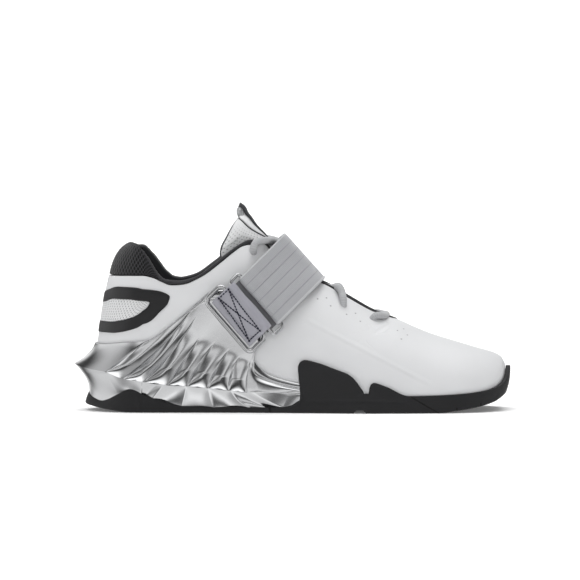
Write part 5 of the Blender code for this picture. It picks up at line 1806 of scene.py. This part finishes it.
    def roll(self) -> bpy.types.Object:
        """The rolled bright end of the tongue's front."""
        turn = np.linspace(0, 2 * math.pi, 28, endpoint=False)
        lean = math.radians(self.tip_lean)
        rows = []
        for share in np.sin(np.linspace(-math.pi / 2, math.pi / 2, 21)) * 0.999:
            shrink = (1 - abs(share) ** 3) ** (1 / 3)
            long, thick = self.tip_size[0] * shrink * np.cos(turn), self.tip_size[1] * shrink * np.sin(turn)
            x = self.tip[0] + long * math.cos(lean) - thick * math.sin(lean)
            z = self.tip[1] + long * math.sin(lean) + thick * math.cos(lean)
            rows.append(np.stack([x, np.full(len(turn), share * self.tip_half), z], axis=-1))
        return surface("tongue_tip", [np.array(rows)], self.bright.build(), closed=True, capped=True)

    def curled(self, grid: Array, reach: float, out: float) -> Array:
        """Rows that carry a strip on past its end, turning back over the tongue's tip."""
        heading = (grid[-1] - grid[-2]).mean(axis=0)
        start = math.atan2(heading[2], heading[0])
        share = np.linspace(-1, 1, grid.shape[1])
        shrink = np.sqrt(np.clip(1 - share ** 4 * 0.75, 0, 1))
        rows, here, steps = [], np.zeros(3), 12
        for k in range(steps):
            angle = start + math.radians(self.curl_turn) * (k / steps) ** 0.8
            here = here + np.array([math.cos(angle), 0.0, math.sin(angle)]) * reach / steps
            normal = np.array([-math.sin(start), 0.0, math.cos(start)]) * out * ((k + 1) / steps) ** 2
            rows.append(grid[-1] + here * shrink[:, None] + normal)
        return np.array(rows)

    def build(self) -> None:
        """Make the tongue and what is on it."""
        made = settle(self.pad(), "white_mesh_tongue", "tongue")
        body = self.thickness / 2
        pale = self.pale.build()
        panel = self.strip("front_panel", self.pale_halves, (body, body), self.panel, pale)
        settle(panel, "dark_tongue_panel", "tongue_panel")
        seat = tuple(body + thick for thick in self.panel)
        stripe = self.strip("front_stripe", self.dark_halves, seat, self.stripe, self.dark.build(), self.curl)
        settle(stripe, "dark_tongue_panel")
        settle(self.roll(), "dark_tongue_panel")
        edging = self.edging.build()
        for side, name in zip(SIDES, ("outer", "inner")):
            place = np.linspace(self.edging_start, len(TONGUE.rows) - 1.02, 80)
            line = self.point(place, np.full(len(place), side * 0.99), np.zeros(len(place)))
            cord = tube(f"tongue_edging_{name}", line, self.edging_width, edging, 10)
            settle(cord, "dark_tongue_panel")
            place = np.linspace(self.pale_halves[0][0], self.pale_halves[-1][0], 70)
            across = side * (read_pairs(self.pale_halves, place) + 0.02)
            line = self.point(place, across, np.full(len(place), body + self.panel_edging_lift))
            cord = tube(f"panel_edging_{name}", line, self.panel_edging_width, edging, 8)
            settle(cord, "dark_tongue_panel")


@dataclass
class Laces:
    """Grey round lace: one bar low on the throat and two crossings, its ends dipping into eyelets."""

    thickness: float = 0.0050
    inset: float = 0.0075
    bar: float = 0.160
    bulge: float = 0.0105
    spread: float = 0.25
    vamp: float = 0.127
    # Places along X of the eyelet, the rearmost bend and the rim's crossing, then tongue rows
    runs: tuple[tuple[str, float, float, float, float, float], ...] = (
        ("low", 0.1402, 0.1394, 0.1368, 2.85, 3.55),
        ("top", 0.0772, 0.0790, 0.0850, 6.3, 5.0),
    )
    finish: BraidedCord = BraidedCord(
        "grey_braid", (0.44, 0.445, 0.455), (0.30, 0.305, 0.315), 0.0145, 12, 0.0021
    )
    # Dark dishes at the eyelets where the laces go in: painted shade in the holes
    eyelet: Moulded = Moulded("eyelet_hole_shade", (0.05, 0.05, 0.055), 0.5)
    eyelet_size: float = 0.0050
    eyelet_depth: float = 0.0003
    eyelet_inset: float = 0.0008
    # How much further down than the eyelet a lace's hidden end lies, and how far inside the wall
    hidden: tuple[float, float] = (0.0030, 0.0020)
    dip: float = 0.0012

    def beside_rim(self, x: float, side: int, inset: float, clear: float) -> Array:
        """A point clear of the wall, some way down from the rim, on the section at x."""
        station = x / LAST.toe_reach * 100
        tall = float(LAST.wall(station, side, 1.0)[1] - LAST.footbed(station))
        r, z = LAST.wall(station, side, 1 - inset / tall, -clear)
        px, py = LAST.plan(station, side, r)
        return np.array([float(px), float(py), float(z)])

    def build(self, tongue: Tongue, punch: Repeater) -> None:
        """Make the laces and their eyelets.

        Args:
            tongue: The tongue that they lie on.
            punch: The tree that punches holes.
        """
        # ring is the eyelets' dark finish: painted shade in the holes
        finish, ring = self.finish.build(), self.eyelet.build()
        clear = self.thickness / 2 + FIT_GAP
        bulge = np.array([self.bulge, 0.0, -self.bulge / 3])
        ends = []
        for side in SIDES:
            points = [self.beside_rim(self.bar, side, self.inset + self.dip, -0.0015)]
            points += [
                self.beside_rim(self.bar, side, inset, gap) + bulge * share
                for inset, share, gap in ((self.inset, 0.3, clear), (self.inset * 0.6, 0.75, clear * 0.5))
            ]
            ends.append(points)
        station = self.bar / LAST.toe_reach * 100
        middle = np.array([self.bar, 0.0, float(LAST.wall(station, 1, 1.0)[1])]) + bulge
        line = curve_through(ends[0] + [middle] + ends[1][::-1], 90, 0.16)
        settle(tube("lace_low_bar", line, self.thickness, finish, 16), "grey_lace", "lace_bar")
        off_tongue = self.thickness / 2 + tongue.thickness / 2 + FIT_GAP
        eyelets = [(self.bar, side) for side in SIDES]
        for name, eyelet, rear, over, crossing, end in self.runs:
            for side, run in zip(SIDES, ("first", "second")):
                lift = off_tongue + (0.0012 if side > 0 else -0.0002)
                points = [
                    self.beside_rim(eyelet, side, self.inset + self.hidden[0], -self.hidden[1]),
                    self.beside_rim(eyelet, side, self.inset + self.dip, clear),
                    self.beside_rim(rear, side, self.inset / 2, clear + FIT_GAP),
                    self.beside_rim(over, side, 0.0, clear + FIT_GAP),
                    tongue.point(crossing, 0.001, lift),
                    tongue.point(end, -side * self.spread, off_tongue),
                ]
                if over > self.vamp:
                    points[4][2] = max(points[4][2], points[3][2] - clear / 4)
                made = tube(f"lace_{name}_{run}", curve_through(points, 70, 0.14), self.thickness, finish, 16)
                settle(made, "grey_lace", *([f"lace_cross_{name}"] if side < 0 else []))
                eyelets.append((eyelet, side))
        points, aims = [], []
        for x, side in eyelets:
            down = self.inset + self.eyelet_inset
            centre = self.beside_rim(x, side, down, 0.0)
            out = self.beside_rim(x, side, down, 0.001) - centre
            points.append(centre + out * 0.02)
            aims.append(out * 1000)
        values = {"Hole": self.eyelet_size, "Depth": self.eyelet_depth, "Material": ring}
        settle(punch.run("lace_eyelets", np.array(points), [], np.array(aims), values), "black_frame")


class StrapTrack:
    """The line that the strap lies on at one place across its width, in the plane of its slope."""

    slope = math.radians(43.7)
    start = (0.321, 0.652)
    lift = 0.0025
    width = 0.042
    hump = (0.0418, 0.0405)
    hump_half = 0.010
    hump_fall = 0.0015

    def __init__(self, across: float) -> None:
        """Find the line.

        Args:
            across: Place across the strap, 0 in its middle.
        """
        self.along = np.array([math.cos(self.slope), math.sin(self.slope)])
        self.origin = np.array([self.start[0] * LAST.toe_reach, self.start[1] * LAST.collar_height])
        self.origin = self.origin + across * np.array([self.along[1], -self.along[0]])
        climb = np.linspace(-0.042, 0.06, 103)
        x, z = (self.origin[k] + climb * self.along[k] for k in range(2))
        station = x / LAST.toe_reach * 100
        solid = (z < LAST.wall(station, 1, np.ones(len(station)))[1]) & (station > 0)
        points = []
        for side in SIDES:
            out = LAST.radius(station[solid], side, z[solid])
            steep = np.gradient(out, climb[solid])
            size = np.hypot(1, steep)
            points += list(zip(side * (out + self.lift / size), climb[solid] - self.lift * steep / size))
        front = np.clip(across / self.width + 0.5, 0, 1)
        top = self.hump[0] + (self.hump[1] - self.hump[0]) * front
        points += [(part * self.hump_half, top - abs(part) * self.hump_fall) for part in (0, -1, 1)]
        line = self.outline(points)
        even = np.linspace(0, run_lengths(line)[-1], 400)
        self.line = eased(evenly(line, len(even)), 15)
        self.normal = left_of(self.line)
        outer = self.line[:, 0] < 0
        self.length = even - np.interp(0.0, self.line[outer, 1], even[outer])

    @staticmethod
    def outline(points: list[tuple[float, float]]) -> Array:
        """Convex outline over the points, from the lowest outer one to the lowest inner one."""
        lowest = min(q for _, q in points)
        ends = {(pick(p[0] for p in points), lowest - FIT_GAP) for pick in (min, max)}
        kept: list[tuple[float, float]] = []
        for point in sorted(set(points) | ends):
            while len(kept) > 1:
                a, b = kept[-2], kept[-1]
                if (b[0] - a[0]) * (point[1] - a[1]) - (b[1] - a[1]) * (point[0] - a[0]) < 0:
                    break
                kept.pop()
            kept.append(point)
        return np.array(kept)

    def point(self, length: Array, lift: Array) -> Array:
        """Points in the world at lengths round the foot and lifts off the track."""
        y, q = (np.interp(length, self.length, self.line[:, k]) for k in range(2))
        ny, nq = (np.interp(length, self.length, self.normal[:, k]) for k in range(2))
        y, q = y + lift * ny, q + lift * nq
        return np.stack([self.origin[0] + q * self.along[0], y, self.origin[1] + q * self.along[1]], axis=-1)


@dataclass
class Strap:
    """Elastic strap through its ring, the sewn tab that holds the ring, and the frame round the tab."""

    width: float = 0.042
    thickness: float = 0.0013
    skew: float = -0.05
    ply: float = 0.0012
    ply_gap: float = 0.0003
    ring_wire: float = 0.0026
    frame_wire: float = 0.0034
    ring_left: float = -0.0083
    ring_right: float = 0.0007
    ring_low: float = 0.0040
    ring_high: float = 0.0054
    overhang: float = 0.0028
    tab_end: float = -0.026
    tab_parting: float = -0.013
    tab_half: float = 0.0202
    tab_shift: float = -0.002
    tab_turn: float = 0.0045
    turn: float = 0.006
    under: float = 0.128
    over: float = 0.104
    frame_left: float = -0.029
    frame_length: float = 0.048
    frame_shift: float = -0.0025
    # The stitched box's corners: length and place across, in metres
    box: tuple[tuple[float, float], ...] = (
        (-0.0208, -0.0208), (-0.0120, -0.0208), (-0.0140, 0.0150), (-0.0238, 0.0150),
    )
    thread: float = 0.0010
    stitch: float = 0.0020
    stitch_pitch: float = 0.0021
    # A dark sheet under the gap between the strap's fold and the tab, painted shade where that gap lies in
    # shadow: its lift, inset and thickness
    shade_sheet_lift: float = 0.0005
    shade_sheet_inset: float = 0.001
    shade_sheet_thickness: float = 0.0008
    elastic: RibbedElastic = RibbedElastic()
    webbing: Webbing = Webbing()
    plating: Plating = Plating("bright_wire", (0.68, 0.685, 0.695), 0.22)
    navy: Moulded = Moulded("navy_thread", (0.012, 0.012, 0.028), 0.6)
    # Finish of the dark sheet in the gap under the strap's fold: painted shade
    lining: Moulded = Moulded("painted_gap_shade", (0.17, 0.17, 0.18), 0.8)

    def skewed(self, length: Array) -> Array:
        """How much a place near the fold leans with the distance across the strap."""
        return self.skew * np.clip((0.03 - length) / 0.02, 0, 1)

    def placed(self, length: float, across: float, lift: float) -> Array:
        """A point on the strap in the world, from its length, its place across and its lift."""
        return StrapTrack(across).point(length + self.skewed(length) * across, lift)

    @staticmethod
    def fold(centre: float, lift: float, bend: float, first: float, last: float) -> list[tuple[float, float]]:
        """Points round a bar, in length and lift, from one angle to another in degrees."""
        turns = np.radians(np.linspace(first, last, 13))
        return [(centre + bend * math.cos(a), lift + bend * math.sin(a)) for a in turns]

    def strap_path(self) -> list[tuple[float, float]]:
        """Length and lift of the strap's middle, from its inner end, round the ring and back."""
        low = FIT_GAP + self.thickness / 2
        high = low + self.thickness + FIT_GAP
        bend = self.ring_wire / 2 + FIT_GAP + self.thickness / 2
        path = [(length, low) for length in np.linspace(self.under, 2 * self.turn, 13)]
        path += [(self.turn, low + FIT_GAP)]
        path += self.fold(self.ring_right, self.ring_low, bend, 270, 90)
        path += [(self.turn, self.ring_low + bend - 2 * FIT_GAP), (2 * self.turn, high + 4 * FIT_GAP)]
        return path + [(length, high) for length in np.linspace(4 * self.turn, self.over, 10)]

    def tab_path(self) -> list[tuple[float, float]]:
        """Length and lift of the tab's middle, from its sewn end round the ring and back."""
        ply = self.ply
        bend = self.ring_wire / 2 + FIT_GAP + ply / 2
        low, high = FIT_GAP + ply / 2, FIT_GAP + self.ply_gap + ply * 1.5
        crossing = FIT_GAP + self.frame_wire + FIT_GAP + ply / 2
        path = [(self.tab_end, low), (self.tab_end + self.tab_turn, low)]
        path += [(self.tab_parting - self.tab_turn, low + ply), (self.tab_parting, crossing)]
        path += self.fold(self.ring_left, self.ring_high, bend, -90, 90)
        path += [(self.tab_parting + ply, self.ring_high + bend - ply)]
        path += [(self.tab_parting - FIT_GAP, crossing + ply + self.ply_gap)]
        path += [(self.tab_parting - self.tab_turn - ply, high + ply), (self.tab_end + self.tab_turn, high)]
        return path + [(self.tab_end, high)]

    def ribbon(
        self,
        name: str,
        path: list[tuple[float, float]],
        half: float,
        thickness: float,
        finish: bpy.types.Material,
        shift: float = 0.0,
        count: int = 300,
    ) -> bpy.types.Object:
        """A ribbon along a path, with its real thickness and rounded edges.

        Args:
            name: The object's name.
            path: Lengths and lifts of its middle.
            half: Half its width.
            thickness: Its thickness.
            finish: Its material.
            shift: How far it lies off the strap's middle.
            count: Sections along it.

        Returns:
            The ribbon.
        """
        line = curve_through(path, count, 0.012)
        normal = left_of(line)
        faces: tuple[list[Array], list[Array]] = ([], [])
        for across in np.sin(np.linspace(-math.pi / 2, math.pi / 2, 37)) * half:
            track = StrapTrack(across + shift)
            body = math.sqrt(max(1 - (abs(across) / half) ** 12, 0.0)) * 0.8 + 0.2
            for face, sign in zip(faces, (1, -1)):
                length, lift = (line + normal * sign * thickness / 2 * body).T
                face.append(track.point(length + self.skewed(length) * (across + shift), lift))
        front, back = (np.array(face).transpose(1, 0, 2) for face in faces)
        return surface(name, [solid_sheet(front, back)], finish, closed=True, capped=True)

    def ring(
        self,
        name: str,
        ends: tuple[float, float],
        half: float,
        shift: float,
        lifts: tuple[float, float],
        thickness: float,
        finish: bpy.types.Material,
    ) -> bpy.types.Object:
        """A wire ring that lies over the wing.

        Args:
            name: The object's name.
            ends: Lengths of its far and its near side.
            half: Half its size across the strap.
            shift: How far it lies off the strap's middle.
            lifts: Lifts of its two long sides.
            thickness: The wire's diameter.
            finish: Its material.

        Returns:
            The ring.
        """
        left, right = ends
        corner = (right - left) * 0.25
        spots = (
            (right - corner, half - corner, 0),
            (left + corner, half - corner, 90),
            (left + corner, corner - half, 180),
            (right - corner, corner - half, 270),
        )
        outline = []
        for k, (length, across, first) in enumerate(spots):
            for a in np.radians(np.linspace(first, first + 90, 10)):
                outline.append((length + corner * math.cos(a), across + corner * math.sin(a)))
            if k % 2:
                side = left if k == 1 else right
                outline += [(side, across * share) for share in np.linspace(0.9, -0.9, 21)]
        points = []
        for length, across in outline:
            share = (length - left) / (right - left)
            lift = lifts[0] + (lifts[1] - lifts[0]) * share
            points.append(self.placed(length, across + shift, lift))
        return tube(name, np.array(points), thickness, finish, 18, cyclic=True)

    def tab_top(self, length: Array) -> Array:
        """Lift of the tab's upper face at a length."""
        path = np.array(self.tab_path()[::-1])
        upper = path[: int(np.argmax(path[:, 0])) + 1]
        return np.interp(length, upper[:, 0], upper[:, 1]) + self.ply / 2

    def stitching(self, stitches: Repeater) -> None:
        """The box with its cross, sewn through the tab."""
        one, two, three, four = self.box
        points, edges = [], []
        for start, end in ((one, two), (two, three), (three, four), (four, one), (one, three), (two, four)):
            count = 40
            first = len(points)
            for length, across in np.linspace(start, end, count):
                lift = self.tab_top(length) + self.thread * 0.25
                points.append(self.placed(length, across, lift))
            edges += [(first + k, first + k + 1) for k in range(count - 1)]
        values = {"Pitch": self.stitch_pitch, "Length": self.stitch, "Thread": self.thread}
        values["Material"] = self.navy.build()
        settle(stitches.run("tab_box_stitches", np.array(points), edges, None, values), "grey_webbing")

    def build(self, stitches: Repeater) -> None:
        """Make the strap, its tab and the wires.

        Args:
            stitches: The tree that sews.
        """
        elastic, webbing, plating = self.elastic.build(), self.webbing.build(), self.plating.build()
        half = self.width / 2
        strap = self.ribbon("elastic_strap", self.strap_path(), half, self.thickness, elastic, count=420)
        settle(strap, "grey_elastic", "strap")
        # The dark sheet under the gap between the strap's fold and the tab: painted shade
        path = [(length, self.shade_sheet_lift) for length in (self.ring_left - 0.002, self.turn)]
        inner, dark = half - self.shade_sheet_inset, self.lining.build()
        shade_sheet = self.ribbon("painted_gap_shade", path, inner, self.shade_sheet_thickness, dark, count=12)
        settle(shade_sheet, "grey_elastic")
        tab = self.ribbon("sewn_tab", self.tab_path(), self.tab_half, self.ply, webbing, self.tab_shift, 160)
        settle(tab, "grey_webbing", "strap_tab")
        self.stitching(stitches)
        ends, lifts = (self.ring_left, self.ring_right), (self.ring_high, self.ring_low)
        reach = half + self.overhang
        ring = self.ring("strap_ring_wire", ends, reach, 0.0, lifts, self.ring_wire, plating)
        settle(ring, "ring_wire", "strap_ring")
        ends, lifts = (self.frame_left, self.tab_parting), (FIT_GAP + self.frame_wire / 2,) * 2
        reach = self.frame_length / 2
        frame = self.ring("tab_frame_wire", ends, reach, self.frame_shift, lifts, self.frame_wire, plating)
        settle(frame, "frame_wire", "tab_frame")


@dataclass
class Stage:
    """Plain pale floor and backdrop, soft light and the photograph's camera."""

    pixel: float = 0.0007
    picture: int = 580
    distance: float = 6.0
    elevation: float = 2.6
    # The floor's two ends along Y, half its width, the curve into the backdrop and the backdrop's height
    floor_ends: tuple[float, float] = (-6.0, 2.5)
    floor_half: float = 8.0
    cove: float = 2.0
    wall_height: float = 7.0
    # Grey of the surroundings against the sine of the height above the horizon, which bright parts mirror
    sky: tuple[tuple[float, float], ...] = (
        (-1.0, 0.90), (-0.80, 1.0), (-0.66, 1.4), (-0.56, 0.85), (-0.46, 0.12), (-0.34, 0.22), (-0.22, 0.90),
        (-0.08, 0.95), (0.0, 0.20), (0.05, 0.22), (0.12, 0.90), (0.20, 1.15), (0.31, 0.70), (0.39, 0.09),
        (0.62, 0.06), (0.74, 0.42), (0.84, 1.1), (0.94, 1.7),
    )
    cards: tuple[float, float, float, float] = (0.28, 0.50, 0.60, 0.88)
    card_depth: float = 0.55
    # Where the surroundings turn an even grey towards the heel's side
    even_side: tuple[float, float] = (0.50, 0.96)
    even_grey: float = 0.98
    even_share: float = 0.9
    # Each soft light's name, place, the point it looks at, its two sides and its power
    lights: tuple[tuple[str, Colour, Colour, tuple[float, float], float], ...] = (
        ("overhead", (0.1, 0.2, 2.2), (0.1, 0.0, 0.0), (1.8, 1.6), 28.0),
        ("front_fill", (0.2, -2.6, 0.9), (0.1, 0.0, 0.05), (1.8, 1.0), 13.0),
        ("rear_fill", (0.0, 2.2, 1.8), (0.1, 0.0, 0.05), (2.0, 1.0), 10.0),
    )
    plane: float = -0.012
    level_plane: float = -0.042
    heel_column: float = 143.0
    floor_row: float = 412.5

    def floor(self) -> None:
        """A pale floor that curves up into the backdrop."""
        turns = np.radians(np.linspace(0, 90, 24))
        cove, rear = self.cove, self.floor_ends[1]
        profile = [(self.floor_ends[0], 0.0), (rear, 0.0)]
        profile += [(rear + cove * math.sin(a), cove * (1 - math.cos(a))) for a in turns[1:]]
        profile += [(rear + cove, self.wall_height)]
        rows = [[(x, y, z) for y, z in profile] for x in (-self.floor_half, self.floor_half)]
        bench = Bench("pale_stage")
        cloud = bench.noise(0.8, 1)
        _, y, z = bench.axes(Space.OBJECT)
        paint = bench.mix(cloud, (0.93, 0.93, 0.93), (0.96, 0.96, 0.96))
        glow = bench.mix(y.step(0.2, 2.4), (0.10, 0.10, 0.10), (0.34, 0.34, 0.34))
        finish = bench.finish(paint, 0.9, Emission_Strength=1.0, Emission_Color=glow)
        made = surface("stage_floor", [np.array(rows)], finish)
        made.visible_glossy = False
        for face in made.data.polygons:
            if face.normal.z < -0.5:
                made.data.flip_normals()
                break

    @staticmethod
    def softbox(name: str, place: Colour, aim: Colour, size: tuple[float, float], power: float) -> None:
        """A rectangular soft light that looks at a point, kept out of what bright surfaces mirror.

        Args:
            name: The light's name.
            place: Where it hangs.
            aim: Where it looks.
            size: Its two sides.
            power: Its power.
        """
        data = bpy.data.lights.new(name, "AREA")
        data.shape = "RECTANGLE"
        data.size, data.size_y = size
        data.energy = power
        made = bpy.data.objects.new(name, data)
        made.location = place
        made.visible_glossy = False
        made.rotation_euler = (Vector(aim) - Vector(place)).to_track_quat("-Z", "Y").to_euler()
        bpy.context.scene.collection.objects.link(made)

    def surroundings(self) -> None:
        """What the plating reflects: bright at the horizon and overhead, dark between."""
        world = bpy.data.worlds.new("studio")
        bpy.context.scene.world = world
        world.use_nodes = True
        bench = Bench.on(world.node_tree)
        source = bench.node("ShaderNodeTexCoord").outputs["Generated"]
        split = bench.node("ShaderNodeSeparateXYZ", inputs={0: source})
        x, _, z = (Value(bench, output) for output in split.outputs)
        stops = [(at / 2 + 0.5, (grey,) * 3) for at, grey in self.sky]
        ramp = bench.node("ShaderNodeValToRGB", inputs={0: z * 0.5 + 0.5}, stops=stops)
        card = x.size().step(*self.cards[:2]) * (1 - x.size().step(*self.cards[2:]))
        shaded = bench.mix(card * self.card_depth, ramp.outputs[0], (0.05, 0.05, 0.05))
        even = (0 - x).step(*self.even_side) * self.even_share
        shaded = bench.mix(even, shaded, (self.even_grey,) * 3)
        light = bench.node("ShaderNodeBackground", inputs={"Color": shaded, "Strength": 1.0})
        bench.node("ShaderNodeOutputWorld", inputs={0: light.outputs[0]})

    def camera(self) -> None:
        """The photograph's camera: level with the shoe's outer side, a little above it."""
        data = bpy.data.cameras.new("camera")
        data.sensor_width = 36.0
        data.lens = data.sensor_width * self.distance / (self.picture * self.pixel)
        middle = self.picture / 2
        drop = (self.plane - self.level_plane) * math.tan(math.radians(self.elevation))
        height = (self.floor_row - middle) * self.pixel - drop
        aim = Vector(((middle - self.heel_column) * self.pixel, self.plane, height))
        up = math.radians(self.elevation)
        made = bpy.data.objects.new("camera", data)
        made.location = aim + Vector((0.0, -math.cos(up), math.sin(up))) * self.distance
        made.rotation_euler = (aim - made.location).to_track_quat("-Z", "Y").to_euler()
        data.clip_end = 100.0
        bpy.context.scene.collection.objects.link(made)
        bpy.context.scene.camera = made

    def build(self) -> None:
        """Set the stage."""
        self.floor()
        self.surroundings()
        for light in self.lights:
            self.softbox(*light)
        self.camera()
        bpy.context.scene.view_settings.view_transform = "Standard"


def main() -> None:
    """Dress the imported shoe, piece by piece."""
    logging.basicConfig(level=logging.INFO, format="%(message)s")
    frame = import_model()
    stitches, punch = stitch_tree(), punch_tree()
    sole, upper, tongue = Outsole(), Upper(), Tongue()
    sole.build()
    HeelClip().build(sole)
    upper.build(punch)
    Collar().build(upper)
    HeelFrame().build()
    tongue.build()
    Laces().build(tongue, punch)
    Strap().build(stitches)
    frame["nodes"]["insole"].data.materials[0] = Lining().build()
    Stage().build()


if __name__ == "__main__":
    main()
